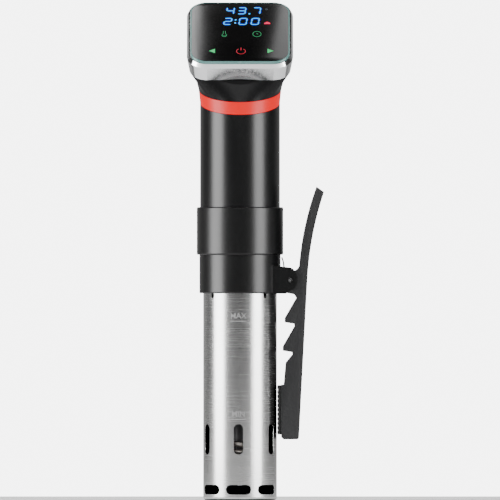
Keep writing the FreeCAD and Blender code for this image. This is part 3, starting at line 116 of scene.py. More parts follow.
def wire(tree: bpy.types.NodeTree, source: bpy.types.NodeSocket, target: bpy.types.NodeSocket) -> None:
    """Link two sockets."""
    tree.links.new(source, target)


def number(tree: bpy.types.NodeTree, operation: str, *values: object) -> bpy.types.NodeSocket:
    """One step of arithmetic on numbers or sockets.

    Args:
        tree: The tree to work in.
        operation: The Math node's operation.
        values: Numbers or sockets, in order.

    Returns:
        The result's socket.
    """
    node = add_node(tree, "ShaderNodeMath", operation=operation)
    for index, value in enumerate(values):
        if isinstance(value, bpy.types.NodeSocket):
            wire(tree, value, node.inputs[index])
        else:
            node.inputs[index].default_value = value
    return node.outputs[0]


def noise(
    tree: bpy.types.NodeTree,
    stretch: tuple[float, float, float],
    scale: object,
    detail: float = 3.0,
    rough: float = 0.5,
) -> bpy.types.NodeSocket:
    """Noise on Object coordinates, stretched along the axes.

    Args:
        tree: The tree to work in.
        stretch: Mapping scale on X, Y and Z.
        scale: The noise's scale, a number or a socket.
        detail: Octaves.
        rough: How strong the fine octaves are.

    Returns:
        The noise value's socket.
    """
    where = add_node(tree, "ShaderNodeTexCoord")
    mapping = add_node(tree, "ShaderNodeMapping")
    mapping.inputs["Scale"].default_value = stretch
    wire(tree, where.outputs["Object"], mapping.inputs["Vector"])
    texture = add_node(tree, "ShaderNodeTexNoise")
    wire(tree, mapping.outputs["Vector"], texture.inputs["Vector"])
    if isinstance(scale, bpy.types.NodeSocket):
        wire(tree, scale, texture.inputs["Scale"])
    else:
        texture.inputs["Scale"].default_value = scale
    texture.inputs["Detail"].default_value = detail
    texture.inputs["Roughness"].default_value = rough
    return texture.outputs["Fac"]


def mix_colour(
    tree: bpy.types.NodeTree, factor: bpy.types.NodeSocket, first: Colour, second: Colour
) -> bpy.types.NodeSocket:
    """Blend two colours by a mask.

    Args:
        tree: The tree to work in.
        factor: 0 gives the first colour, 1 the second.
        first: Colour at 0.
        second: Colour at 1.

    Returns:
        The blended colour's socket.
    """
    node = add_node(tree, "ShaderNodeMix", data_type="RGBA")
    wire(tree, factor, node.inputs[MIX_FACTOR])
    node.inputs[MIX_FIRST].default_value = (*first, 1.0)
    node.inputs[MIX_SECOND].default_value = (*second, 1.0)
    return node.outputs[MIX_RESULT]


def moulded_group() -> bpy.types.NodeTree:
    """Moulded plastic or enamel: fine grain, faint flow marks and light handling scuffs."""
    group = new_group(
        "moulded surface",
        {"Grain Scale": 900.0, "Grain Depth": 0.4, "Scuffs": 0.3, "Roughness": 0.3},
        {"Tone": Socket.NUMBER, "Roughness": Socket.NUMBER, "Height": Socket.NUMBER},
    )
    source, sink = group.nodes["Group Input"], group.nodes["Group Output"]
    grain = noise(group, stretch=(1, 1, 1), scale=source.outputs["Grain Scale"], detail=2.0, rough=0.6)
    flow = noise(group, stretch=(1, 1, 0.4), scale=22.0, detail=2.0)
    scratch = noise(group, stretch=(1.0, 1.0, 0.08), scale=420.0, detail=5.0, rough=0.75)
    patch = noise(group, stretch=(1, 1, 1), scale=30.0, detail=2.0)
    thin, blotch = number(group, "POWER", scratch, 6.0), number(group, "POWER", patch, 2.0)
    scuff = number(group, "MULTIPLY", thin, blotch)
    scuff = number(group, "MULTIPLY", number(group, "MULTIPLY", scuff, 30.0), source.outputs["Scuffs"])
    spread = number(group, "MULTIPLY", number(group, "SUBTRACT", flow, 0.5), 0.12)
    rough = number(group, "ADD", number(group, "ADD", source.outputs["Roughness"], spread), scuff)
    wire(group, number(group, "MAXIMUM", rough, 0.02), sink.inputs["Roughness"])
    wire(group, number(group, "ADD", number(group, "MULTIPLY", grain, 0.4), scuff), sink.inputs["Tone"])
    wire(group, number(group, "MULTIPLY", grain, source.outputs["Grain Depth"]), sink.inputs["Height"])
    return group


def brushed_group() -> bpy.types.NodeTree:
    """Brushing in level lines round an upright tube, with stray scratches."""
    group = new_group(
        "level brushing",
        {"Depth": 0.5, "Contrast": 1.0, "Roughness": 0.3},
        {"Tone": Socket.NUMBER, "Roughness": Socket.NUMBER, "Height": Socket.NUMBER},
    )
    source, sink = group.nodes["Group Input"], group.nodes["Group Output"]
    fine = noise(group, stretch=(3, 3, 700), scale=5.0, detail=3.0, rough=0.7)
    broad = noise(group, stretch=(2, 2, 220), scale=5.0, detail=2.0, rough=0.5)
    stain = noise(group, stretch=(1, 1, 1), scale=26.0, detail=3.0)
    lines = number(group, "ADD", number(group, "MULTIPLY", fine, 0.7), number(group, "MULTIPLY", broad, 0.3))
    contrast = number(group, "MULTIPLY", number(group, "SUBTRACT", lines, 0.5), source.outputs["Contrast"])
    wire(group, number(group, "ADD", contrast, 0.5), sink.inputs["Tone"])
    wander = number(group, "MULTIPLY", number(group, "SUBTRACT", stain, 0.5), 0.08)
    rough = number(group, "ADD", source.outputs["Roughness"], number(group, "MULTIPLY", contrast, 0.18))
    wire(group, number(group, "ADD", rough, wander), sink.inputs["Roughness"])
    wire(group, number(group, "MULTIPLY", lines, source.outputs["Depth"]), sink.inputs["Height"])
    return group


def dust_group() -> bpy.types.NodeTree:
    """Specks and faint smears that dull a polished face."""
    group = new_group("specks", {"Amount": 0.2}, {"Mask": Socket.NUMBER})
    source, sink = group.nodes["Group Input"], group.nodes["Group Output"]
    grains = noise(group, stretch=(1, 1, 1), scale=1500.0, detail=1.0)
    wipes = noise(group, stretch=(1, 0.35, 1), scale=40.0, detail=4.0, rough=0.6)
    specks = number(group, "POWER", grains, 9.0)
    smear = number(group, "POWER", wipes, 3.0)
    total = number(group, "ADD", number(group, "MULTIPLY", specks, 3.0), smear)
    wire(group, number(group, "MULTIPLY", total, source.outputs["Amount"]), sink.inputs["Mask"])
    return group


def bore_group() -> bpy.types.NodeTree:
    """Mask of everything nearer the Z axis than a radius, where shade is painted on a tube's inner wall."""
    group = new_group("inner wall", {"Radius": 0.03}, {"Inside": Socket.NUMBER})
    source, sink = group.nodes["Group Input"], group.nodes["Group Output"]
    where = add_node(group, "ShaderNodeTexCoord")
    split = add_node(group, "ShaderNodeSeparateXYZ")
    wire(group, where.outputs["Object"], split.inputs[0])
    across = number(group, "MULTIPLY", split.outputs["X"], split.outputs["X"])
    deep = number(group, "MULTIPLY", split.outputs["Y"], split.outputs["Y"])
    reach = number(group, "SQRT", number(group, "ADD", across, deep))
    wire(group, number(group, "LESS_THAN", reach, source.outputs["Radius"]), sink.inputs["Inside"])
    return group


class Groups:
    """The shared shader groups, each built once."""

    made: dict[str, bpy.types.NodeTree] = {}
    makers: dict[str, Callable[[], bpy.types.NodeTree]] = {
        "moulded": moulded_group,
        "brushed": brushed_group,
        "dust": dust_group,
        "bore": bore_group,
    }

    @classmethod
    def place(cls, tree: bpy.types.NodeTree, name: str, **values: float) -> bpy.types.Node:
        """Put a group in a material with its own values.

        Args:
            tree: The material's tree.
            name: Which group.
            values: Input values, spaces written as underscores.

        Returns:
            The group node.
        """
        if name not in cls.made:
            cls.made[name] = cls.makers[name]()
        node = add_node(tree, "ShaderNodeGroup", node_tree=cls.made[name])
        for key, value in values.items():
            node.inputs[key.replace("_", " ")].default_value = value
        return node


# --- finishes


class Surface(Enum):
    """Which shared surface a finish is made with."""

    MOULDED = "moulded"
    BRUSHED = "brushed"


MADE: dict[str, bpy.types.Material] = {}


@dataclass(frozen=True)
class Finish:
    """One finish of the circulator, as a maker would specify it, with painted shade on a tube's inner wall
    where a bore radius is given.
    """

    name: str
    colour: Colour
    tone: Colour
    roughness: float
    metallic: float = 0.0
    surface: Surface = Surface.MOULDED
    grain_scale: float = 1200.0
    depth: float = 0.3
    bump: float = 0.12
    scuffs: float = 0.15
    coat: float = 0.0
    coat_roughness: float = 0.05
    specular: float = 0.5
    dust: float = 0.0
    glow: Colour | None = None
    glow_strength: float = 0.0
    # radius inside which painted shade replaces the colour; 0 paints none
    bore: float = 0.0

    def paint_bore_shade(self, tree: bpy.types.NodeTree, colour: bpy.types.NodeSocket) -> bpy.types.NodeSocket:
        """Paint shade on the inner wall of a tube that stands on the Z axis.

        Args:
            tree: The material's tree.
            colour: The outside colour.

        Returns:
            The colour with shade painted on the inner wall.
        """
        group = Groups.place(tree, "bore", Radius=self.bore)
        node = add_node(tree, "ShaderNodeMix", data_type="RGBA")
        wire(tree, group.outputs["Inside"], node.inputs[MIX_FACTOR])
        wire(tree, colour, node.inputs[MIX_FIRST])
        # the painted shade colour for the inner wall
        node.inputs[MIX_SECOND].default_value = BORE_PAINTED_SHADE
        return node.outputs[MIX_RESULT]

    def material(self) -> bpy.types.Material:
        """Build the material, or give the one that is already built."""
        if self.name in MADE:
            return MADE[self.name]
        material = bpy.data.materials.new(self.name)
        MADE[self.name] = material
        material.use_nodes = True
        tree = material.node_tree
        shader = tree.nodes["Principled BSDF"]
        if self.surface is Surface.BRUSHED:
            group = Groups.place(tree, "brushed", Depth=self.depth, Roughness=self.roughness, Contrast=0.8)
        else:
            group = Groups.place(
                tree,
                "moulded",
                Grain_Scale=self.grain_scale,
                Grain_Depth=self.depth,
                Scuffs=self.scuffs,
                Roughness=self.roughness,
            )
        colour = mix_colour(tree, group.outputs["Tone"], self.colour, self.tone)
        # paint shade on the inner wall of the tube
        if self.bore:
            colour = self.paint_bore_shade(tree, colour)
        wire(tree, colour, shader.inputs["Base Color"])
        rough = group.outputs["Roughness"]
        if self.dust:
            specks = Groups.place(tree, "dust", Amount=self.dust)
            rough = number(tree, "ADD", rough, specks.outputs["Mask"])
        wire(tree, rough, shader.inputs["Roughness"])
        bump = add_node(tree, "ShaderNodeBump")
        bump.inputs["Strength"].default_value = self.bump
        bump.inputs["Distance"].default_value = BUMP_REACH
        wire(tree, group.outputs["Height"], bump.inputs["Height"])
        wire(tree, bump.outputs["Normal"], shader.inputs["Normal"])
        shader.inputs["Metallic"].default_value = self.metallic
        shader.inputs["Specular IOR Level"].default_value = self.specular
        shader.inputs["Coat Weight"].default_value = self.coat
        shader.inputs["Coat Roughness"].default_value = self.coat_roughness
        if self.glow is not None:
            brighter = tuple(min(part * GLOW_SPREAD, 1.0) for part in self.glow)
            lit = mix_colour(tree, group.outputs["Tone"], self.glow, brighter)
            wire(tree, lit, shader.inputs["Emission Color"])
            shader.inputs["Emission Strength"].default_value = self.glow_strength
        return material


STEEL = Finish(
    "level_brushed_steel",
    (0.47, 0.47, 0.465),
    (0.56, 0.56, 0.555),
    0.26,
    metallic=1.0,
    surface=Surface.BRUSHED,
    depth=0.5,
    bump=0.05,
    # painted shade on the skirt's inner wall, seen through its slots
    bore=0.0287,
)
MARKING = Finish("etched_mark", (0.20, 0.20, 0.20), (0.25, 0.25, 0.25), 0.6, metallic=0.1, scuffs=0.1)
CHROME = Finish(
    "polished_chrome", (0.80, 0.81, 0.82), (0.88, 0.89, 0.90), 0.08, metallic=1.0, bump=0.012, dust=0.05
)
GLOSS_BLACK = Finish(
    "piano_black",
    (0.0012, 0.0012, 0.0014),
    (0.003, 0.003, 0.0033),
    0.30,
    bump=0.012,
    scuffs=0.01,
    specular=0.41,
)
SHELL_BLACK = Finish(
    "shell_moulding",
    (0.002, 0.002, 0.0022),
    (0.003, 0.003, 0.0032),
    0.36,
    bump=0.02,
    scuffs=0.03,
    specular=0.15,
)
SATIN_BLACK = Finish(
    "satin_moulding",
    (0.0014, 0.0014, 0.0015),
    (0.0038, 0.0038, 0.004),
    0.31,
    bump=0.03,
    scuffs=0.03,
    specular=0.42,
)
# black moulding whose base colour is lifted to dark grey as a painted sheen for the lever face's reflection
LEVER_BLACK_AND_SHEEN = Finish(
    "lever_black_and_sheen",
    (0.0126, 0.0126, 0.0132),
    (0.0315, 0.0315, 0.0325),
    0.38,
    bump=0.12,
    scuffs=0.2,
    specular=0.3,
)
RUBBER = Finish(
    "ribbed_rubber", (0.003, 0.003, 0.003), (0.009, 0.009, 0.009), 0.7, bump=0.35, grain_scale=700.0
)
GLASS_FACE = Finish(
    "backed_glass",
    (0.0006, 0.0006, 0.0007),
    (0.0012, 0.0012, 0.0013),
    0.15,
    bump=0.0,
    scuffs=0.02,
    specular=0.5,
)
# green of the ground glass edge is its own colour; its glow is painted light, as the edge is no lamp
GLASS_EDGE_WITH_PAINTED_GLOW = Finish(
    "ground_glass_edge_painted_glow",
    (0.05, 0.13, 0.12),
    (0.12, 0.24, 0.22),
    0.22,
    bump=0.1,
    glow=(0.12, 0.26, 0.25),
    glow_strength=0.2,
)
RED_LIGHT = Finish(
    "red_light_acrylic",
    (0.18, 0.001, 0.001),
    (0.24, 0.002, 0.002),
    0.36,
    bump=0.03,
    specular=0.3,
    glow=(0.95, 0.001, 0.001),
    glow_strength=0.9,
)
BLUE_DIGIT = Finish(
    "blue_digit", (0.0, 0.02, 0.1), (0.0, 0.03, 0.15), 0.4, glow=(0.0, 0.42, 1.0), glow_strength=2.3
)
BLUE_HALO = Finish(
    "blue_halo",
    (0.0, 0.0, 0.006),
    (0.0, 0.0, 0.01),
    0.3,
    specular=0.1,
    glow=(0.005, 0.0, 0.8),
    glow_strength=0.5,
)
GREEN_ICON = Finish(
    "green_icon", (0.0, 0.02, 0.01), (0.0, 0.03, 0.01), 0.4, glow=(0.02, 0.45, 0.15), glow_strength=0.9
)
GREEN_KEY = Finish(
    "green_key", (0.0, 0.03, 0.01), (0.0, 0.04, 0.01), 0.4, glow=(0.0, 0.8, 0.2), glow_strength=0.9
)
RED_ICON = Finish(
    "red_icon", (0.05, 0.0, 0.001), (0.08, 0.0, 0.002), 0.4, glow=(0.7, 0.0, 0.03), glow_strength=1.0
)
HEAT_ICON = Finish(
    "heat_icon", (0.05, 0.0, 0.001), (0.08, 0.0, 0.002), 0.4, glow=(1.0, 0.0, 0.08), glow_strength=1.4
)
GREY_PRINT = Finish(
    "grey_print", (0.01, 0.012, 0.015), (0.02, 0.022, 0.025), 0.4, glow=(0.1, 0.14, 0.2), glow_strength=0.4
)
PALE_BOARD = Finish(
    "pale_board",
    (0.72, 0.72, 0.72),
    (0.78, 0.78, 0.78),
    0.8,
    bump=0.05,
    specular=0.1,
    glow=(1.0, 1.0, 1.0),
    glow_strength=0.4,
)
CORE = Finish("core_moulding", (0.02, 0.02, 0.022), (0.05, 0.05, 0.053), 0.55, bump=0.25)
SEAL = Finish("silicone_seal", (0.01, 0.01, 0.01), (0.03, 0.03, 0.03), 0.6, bump=0.2)
PIN_STEEL = Finish(
    "turned_steel", (0.5, 0.5, 0.51), (0.8, 0.8, 0.81), 0.22, metallic=1.0, bump=0.1, grain_scale=2500.0
)
HEATER = Finish("tinted_sheath", (0.42, 0.38, 0.35), (0.72, 0.69, 0.66), 0.3, metallic=1.0, bump=0.15)
ZINC = Finish("zinc_plate", (0.42, 0.43, 0.46), (0.6, 0.61, 0.63), 0.38, metallic=1.0, bump=0.15)
FERRITE = Finish("ferrite", (0.03, 0.03, 0.032), (0.07, 0.07, 0.072), 0.65, bump=0.4, grain_scale=600.0)
IRON = Finish(
    "laminated_iron", (0.14, 0.135, 0.13), (0.32, 0.31, 0.3), 0.45, metallic=1.0, surface=Surface.BRUSHED
)
IMPELLER = Finish("filled_plastic", (0.03, 0.03, 0.033), (0.08, 0.08, 0.085), 0.5, bump=0.3)
BRONZE = Finish("sintered_bronze", (0.42, 0.26, 0.1), (0.7, 0.5, 0.26), 0.4, metallic=1.0, bump=0.3)
BOARD = Finish("board_lacquer", (0.005, 0.07, 0.03), (0.02, 0.16, 0.07), 0.35, bump=0.2, coat=0.3)
PART_BLUE = Finish("sleeved_part", (0.01, 0.02, 0.1), (0.03, 0.05, 0.22), 0.35, bump=0.1)
TAPE = Finish("winding_tape", (0.5, 0.36, 0.05), (0.75, 0.6, 0.15), 0.5, bump=0.25)
ALUMINIUM = Finish(
    "extruded_aluminium", (0.55, 0.56, 0.57), (0.8, 0.8, 0.81), 0.35, metallic=1.0, surface=Surface.BRUSHED
)
CERAMIC = Finish("fuse_ceramic", (0.6, 0.58, 0.52), (0.8, 0.79, 0.74), 0.4, bump=0.2)
NYLON = Finish("black_nylon", (0.01, 0.01, 0.01), (0.035, 0.035, 0.035), 0.5, bump=0.25)


# --- mesh helpers


def paint(node: str, finish: Finish) -> None:
    """Give a carried-over node its finish.

    Args:
        node: The node's name.
        finish: What it is made of.
    """
    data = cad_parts[node].data
    material = finish.material()
    if data.materials:
        for index in range(len(data.materials)):
            data.materials[index] = material
    else:
        data.materials.append(material)


def finish_piece(
    bm: bmesh.types.BMesh, name: str, body: str, finishes: Iterable[Finish], sharp: float = 32.0
) -> bpy.types.Object:
    """Turn a bmesh into a finished piece that rides on a body.

    Args:
        bm: The mesh, in metres, in place. It is freed.
        name: The piece's name.
        body: The body it rides on.
        finishes: One per material slot.
        sharp: Angle in degrees past which an edge stays sharp.

    Returns:
        The object.
    """
    mesh = bpy.data.meshes.new(name)
    bm.to_mesh(mesh)
    bm.free()
    for finish in finishes:
        mesh.materials.append(finish.material())
    mesh.shade_smooth()
    mesh.set_sharp_from_angle(angle=math.radians(sharp))
    piece = bpy.data.objects.new(name, mesh)
    bpy.context.scene.collection.objects.link(piece)
    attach(piece, body)
    return piece


def eased_copy(
    node: str,
    name: str,
    body: str,
    finish: Finish,
    width: float,
    segments: int = 3,
    angle: float = 30.0,
) -> bpy.types.Object:
    """A copy of a CAD node with its hard edges eased, which stands for the node.

    Args:
        node: The node to copy.
        name: The new piece's name.
        body: The body it rides on.
        finish: Its finish.
        width: Width of the eased edge in millimetres.
        segments: Steps across the eased edge.
        angle: Edges sharper than this many degrees are eased.

    Returns:
        The new piece.
    """
    bm = bmesh.new()
    bm.from_mesh(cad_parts[node].data)
    bmesh.ops.remove_doubles(bm, verts=bm.verts, dist=WELD)
    bmesh.ops.dissolve_limit(bm, angle_limit=math.radians(FLAT_ANGLE), verts=bm.verts, edges=bm.edges)
    limit = math.radians(angle)
    hard = [edge for edge in bm.edges if edge.is_manifold and edge.calc_face_angle(0.0) > limit]
    bmesh.ops.bevel(
        bm,
        geom=hard,
        offset=width * MM,
        offset_type="OFFSET",
        segments=segments,
        profile=0.5,
        affect="EDGES",
        clamp_overlap=True,
        material=-1,
    )
    bmesh.ops.recalc_face_normals(bm, faces=bm.faces)
    piece = finish_piece(bm, name, body, [finish], 40.0)
    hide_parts(node)
    return piece


def prism(bm: bmesh.types.BMesh, outline: Steps, low: float, high: float) -> list[bmesh.types.BMVert]:
    """A flat plate from an outline in the XY plane.

    Args:
        bm: The mesh to add to.
        outline: Corners, anticlockwise.
        low: Bottom height.
        high: Top height.

    Returns:
        The new vertices.
    """
    foot = [bm.verts.new((x, y, low)) for x, y in outline]
    face = bm.faces.new(foot)
    raised = bmesh.ops.extrude_face_region(bm, geom=[face])
    top = [item for item in raised["geom"] if isinstance(item, bmesh.types.BMVert)]
    bmesh.ops.translate(bm, verts=top, vec=(0, 0, high - low))
    return foot + top


def arc_points(radius: float, start: float, end: float, steps: int, centre: Place = (0, 0)) -> list[Place]:
    """Points along an arc.

    Args:
        radius: Arc radius.
        start: First angle in degrees.
        end: Last angle in degrees.
        steps: How many intervals.
        centre: Arc centre.

    Returns:
        The points from start to end.
    """
    points = []
    for step in range(steps + 1):
        angle = math.radians(start + (end - start) * step / steps)
        points.append((centre[0] + radius * math.cos(angle), centre[1] + radius * math.sin(angle)))
    return points


def stroke(bm: bmesh.types.BMesh, path: Steps, width: float, low: float, high: float) -> None:
    """A flat ribbon along a path.

    Args:
        bm: The mesh to add to.
        path: Points along its middle.
        width: Ribbon width.
        low: Bottom height.
        high: Top height.
    """
    left, right = [], []
    for index, (x, y) in enumerate(path):
        before = path[max(index - 1, 0)]
        after = path[min(index + 1, len(path) - 1)]
        along = Vector((after[0] - before[0], after[1] - before[1])).normalized()
        across = Vector((-along.y, along.x)) * (width / 2)
        left.append((x + across.x, y + across.y))
        right.append((x - across.x, y - across.y))
    prism(bm, right + left[::-1], low, high)


# --- wet end


@dataclass
class WetEnd:
    """Steel skirt with its level marks, and the heater, probe and impeller inside."""

    body: str = "skirt_shell"
    mark_width: float = 12.8
    mark_letter: float = 6.0
    mark_line: float = 0.65
    mark_bold: float = 0.08
    mark_rise: float = 2.6
    mark_parts: int = 8
    mark_weld: float = 1e-4
    high_line: float = 141.8
    low_line: float = 64.5
    mark_lift: float = 0.03
    turn: float = -2.6

    def radius(self) -> float:
        """Outer radius of the skirt in metres."""
        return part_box("skirt")[1][0]

    def wrap(self, bm: bmesh.types.BMesh, height: float) -> None:
        """Roll a flat mark round the front of the skirt.

        Args:
            bm: The mark in millimetres: X across, Y up, Z out of the surface.
            height: Height of the mark's foot in millimetres.
        """
        radius = self.radius()
        for vert in bm.verts:
            reach = radius + vert.co.z * MM
            angle = vert.co.x * MM / radius + math.radians(self.turn)
            vert.co = Vector((reach * math.sin(angle), -reach * math.cos(angle), (height + vert.co.y) * MM))

    def lettering(self, text: str) -> bmesh.types.BMesh:
        """Flat raised capitals, centred, as a mesh.

        Args:
            text: The word.

        Returns:
            The mesh in millimetres.
        """
        curve = bpy.data.curves.new(text, "FONT")
        curve.body = text
        curve.size = self.mark_letter
        curve.align_x = "CENTER"
        curve.extrude = self.mark_lift
        curve.offset = self.mark_bold
        holder = bpy.data.objects.new(text, curve)
        bpy.context.scene.collection.objects.link(holder)
        mesh = bpy.data.meshes.new_from_object(holder.evaluated_get(bpy.context.evaluated_depsgraph_get()))
        bpy.data.objects.remove(holder)
        bm = bmesh.new()
        bm.from_mesh(mesh)
        bpy.data.meshes.remove(mesh)
        bmesh.ops.remove_doubles(bm, verts=bm.verts, dist=self.mark_weld)
        return bm

    def build_mark(self, word: str, level: float, name: str) -> None:
        """Etch one water level: a word over a line.

        Args:
            word: The word.
            level: Height of the line in millimetres.
            name: The piece's name.
        """
        bm = self.lettering(word)
        for vert in bm.verts:
            vert.co.y += self.mark_rise
        length = self.mark_width / self.mark_parts
        for part in range(self.mark_parts):
            left = part * length - self.mark_width / 2
            right = left + length
            corners = [(left, 0), (right, 0), (right, self.mark_line), (left, self.mark_line)]
            prism(bm, corners, -self.mark_lift, self.mark_lift)
        bmesh.ops.remove_doubles(bm, verts=bm.verts, dist=self.mark_weld / 10)
        self.wrap(bm, level - self.mark_line / 2)
        finish_piece(bm, name, self.body, [MARKING])
        log.info("%s at %.1f mm", name, level)

    def build_marks(self) -> None:
        """Etch the highest and lowest water level on the front."""
        self.build_mark("MAX", self.high_line, "high_level_mark")
        self.build_mark("MIN", self.low_line, "low_level_mark")

    def dress(self) -> None:
        """Paint the nodes of the wet end."""
        finishes = {
            "skirt": STEEL,
            "bulkhead": CORE,
            "skirt_o_ring": SEAL,
            "bulkhead_o_ring": SEAL,
            "shaft_seal": SEAL,
            "heater_coil": HEATER,
            "temperature_probe": PIN_STEEL,
            "level_sensor_pins": PIN_STEEL,
            "shaft_tube": CORE,
            "lower_bush": BRONZE,
            "drive_shaft": PIN_STEEL,
            "impeller": IMPELLER,
            "impeller_nut": PIN_STEEL,
        }
        for node, finish in finishes.items():
            paint(node, finish)
        log.info("wet end dressed: %d nodes", len(finishes))


# --- upper tube


@dataclass
class UpperTube:
    """Gloss tube, collar band, clip sleeve, motor and boards."""

    def dress(self) -> None:
        """Paint the tube's nodes."""
        finishes = {
            "upper_housing": GLOSS_BLACK,
            "collar_band": SATIN_BLACK,
            "clip_sleeve": SATIN_BLACK,
            "sleeve_screws": ZINC,
            "housing_screws": ZINC,
            "motor_bracket": ZINC,
            "bracket_screws": ZINC,
            "motor_end_cap": CORE,
            "motor_can": ZINC,
            "motor_bearings": PIN_STEEL,
            "motor_magnets": FERRITE,
            "rotor_core": IRON,
            "motor_shaft": PIN_STEEL,
            "shaft_coupling": IMPELLER,
            "cooling_fan": IMPELLER,
            "power_board": BOARD,
            "transformer": TAPE,
            "filter_capacitor": PART_BLUE,
            "heater_relay": PART_BLUE,
            "mains_fuse": CERAMIC,
            "heat_sink": ALUMINIUM,
            "light_ring_board": BOARD,
            "status_light_ring": RED_LIGHT,
        }
        for node, finish in finishes.items():
            paint(node, finish)
        log.info("upper tube dressed: %d nodes", len(finishes))


# --- head


@dataclass
class Head:
    """Square tilted head: chrome bezel, touch glass and black neck."""

    body: str = "housing"
    tilt: float = 38.0
    glass_width: float = 78.4
    glass_length: float = 77.6
    glass_corner: float = 13.2
    glass_thick: float = 1.8
    edge_round: float = 0.35
    edge_seen: float = 0.95
    border_low: float = -0.01
    border_high: float = 0.012
    edge_steps: int = 3
    glass_sharp: float = 25.0
    corner_steps: int = 14

    def place(self) -> Matrix:
        """From millimetres on the glass (X across, Y up the slope, Z out) to the row frame."""
        low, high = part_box("touch_glass")
        middle = (Vector(low) + Vector(high)) / 2
        turn = Matrix.Rotation(math.radians(self.tilt), 4, "X")
        normal = turn @ Vector((0, 0, 1))
        top = middle + normal * (self.glass_thick / 2 * MM)
        return Matrix.Translation(top) @ turn @ Matrix.Scale(MM, 4)

    def outline(self, grow: float = 0.0) -> list[tuple[float, float]]:
        """Outline of the glass.

        Args:
            grow: Millimetres to add all round.

        Returns:
            Corner points, anticlockwise.
        """
        half_x = self.glass_width / 2 + grow
        half_y = self.glass_length / 2 + grow
        corner = self.glass_corner + grow
        points = []
        for quarter, (sign_x, sign_y) in enumerate(((1, 1), (-1, 1), (-1, -1), (1, -1))):
            centre = (sign_x * (half_x - corner), sign_y * (half_y - corner))
            points += arc_points(corner, 90 * quarter, 90 * quarter + 90, self.corner_steps, centre)
        return points

    def build_glass(self) -> None:
        """Touch glass with a ground, rounded edge that shows green, with a painted glow."""
        bm = bmesh.new()
        prism(bm, self.outline(), -self.glass_thick, 0.0)
        rim = [edge for edge in bm.edges if all(abs(vert.co.z) < TINY for vert in edge.verts)]
        bmesh.ops.bevel(
            bm,
            geom=rim,
            offset=self.edge_round,
            segments=self.edge_steps,
            profile=0.5,
            affect="EDGES",
            material=-1,
        )
        bmesh.ops.recalc_face_normals(bm, faces=bm.faces)
        front = max(bm.faces, key=lambda face: face.calc_center_median().z)
        for face in bm.faces:
            face.material_index = 0 if face is front else 1
        bmesh.ops.transform(bm, matrix=self.place(), verts=bm.verts)
        # the edge faces carry a painted glow
        finishes = [GLASS_FACE, GLASS_EDGE_WITH_PAINTED_GLOW]
        glass = finish_piece(bm, "glass_panel", self.body, finishes, self.glass_sharp)
        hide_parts("touch_glass")
        log.info("touch glass built")

    def build_border(self) -> None:
        """Green band where the ground edge shows through the glass, with a painted glow."""
        bm = bmesh.new()
        outer = self.outline(-self.edge_round)
        inner = self.outline(-self.edge_seen)
        low, high = self.border_low, self.border_high
        loops = []
        for points, height in ((outer, low), (outer, high), (inner, high), (inner, low)):
            loops.append([bm.verts.new((x, y, height)) for x, y in points])
        for near, far in zip(loops, loops[1:] + loops[:1]):
            for index in range(len(outer)):
                after = (index + 1) % len(outer)
                bm.faces.new((near[index], near[after], far[after], far[index]))
        bmesh.ops.recalc_face_normals(bm, faces=bm.faces)
        bmesh.ops.transform(bm, matrix=self.place(), verts=bm.verts)
        # the green band carries a painted glow
        finish_piece(bm, "glass_border", self.body, [GLASS_EDGE_WITH_PAINTED_GLOW])
        log.info("glass border built")

    def dress(self) -> None:
        """Paint the head's nodes."""
        finishes = {
            "head_bezel": CHROME,
            "head_shell": SHELL_BLACK,
            "glass_adhesive": SEAL,
            "control_board": BOARD,
            "display_module": GLASS_FACE,
            "buzzer": IMPELLER,
            "bezel_screws": ZINC,
            "cord_gland": NYLON,
            "gland_nut": NYLON,
        }
        for node, finish in finishes.items():
            paint(node, finish)
        log.info("head dressed: %d nodes", len(finishes))


class Segment(Enum):
    """Bars of a seven-bar digit: start and end, in half widths and half heights."""

    TOP = ((-1, 1), (1, 1))
    UPPER_RIGHT = ((1, 1), (1, 0))
    LOWER_RIGHT = ((1, 0), (1, -1))
    BOTTOM = ((-1, -1), (1, -1))
    LOWER_LEFT = ((-1, 0), (-1, -1))
    UPPER_LEFT = ((-1, 1), (-1, 0))
    MIDDLE = ((-1, 0), (1, 0))


DIGITS: dict[str, tuple[Segment, ...]] = {
    "0": tuple(segment for segment in Segment if segment is not Segment.MIDDLE),
    "2": (Segment.TOP, Segment.UPPER_RIGHT, Segment.MIDDLE, Segment.LOWER_LEFT, Segment.BOTTOM),
    "3": (Segment.TOP, Segment.UPPER_RIGHT, Segment.MIDDLE, Segment.LOWER_RIGHT, Segment.BOTTOM),
    "4": (Segment.UPPER_LEFT, Segment.UPPER_RIGHT, Segment.MIDDLE, Segment.LOWER_RIGHT),
    "7": (Segment.TOP, Segment.UPPER_RIGHT, Segment.LOWER_RIGHT),
}


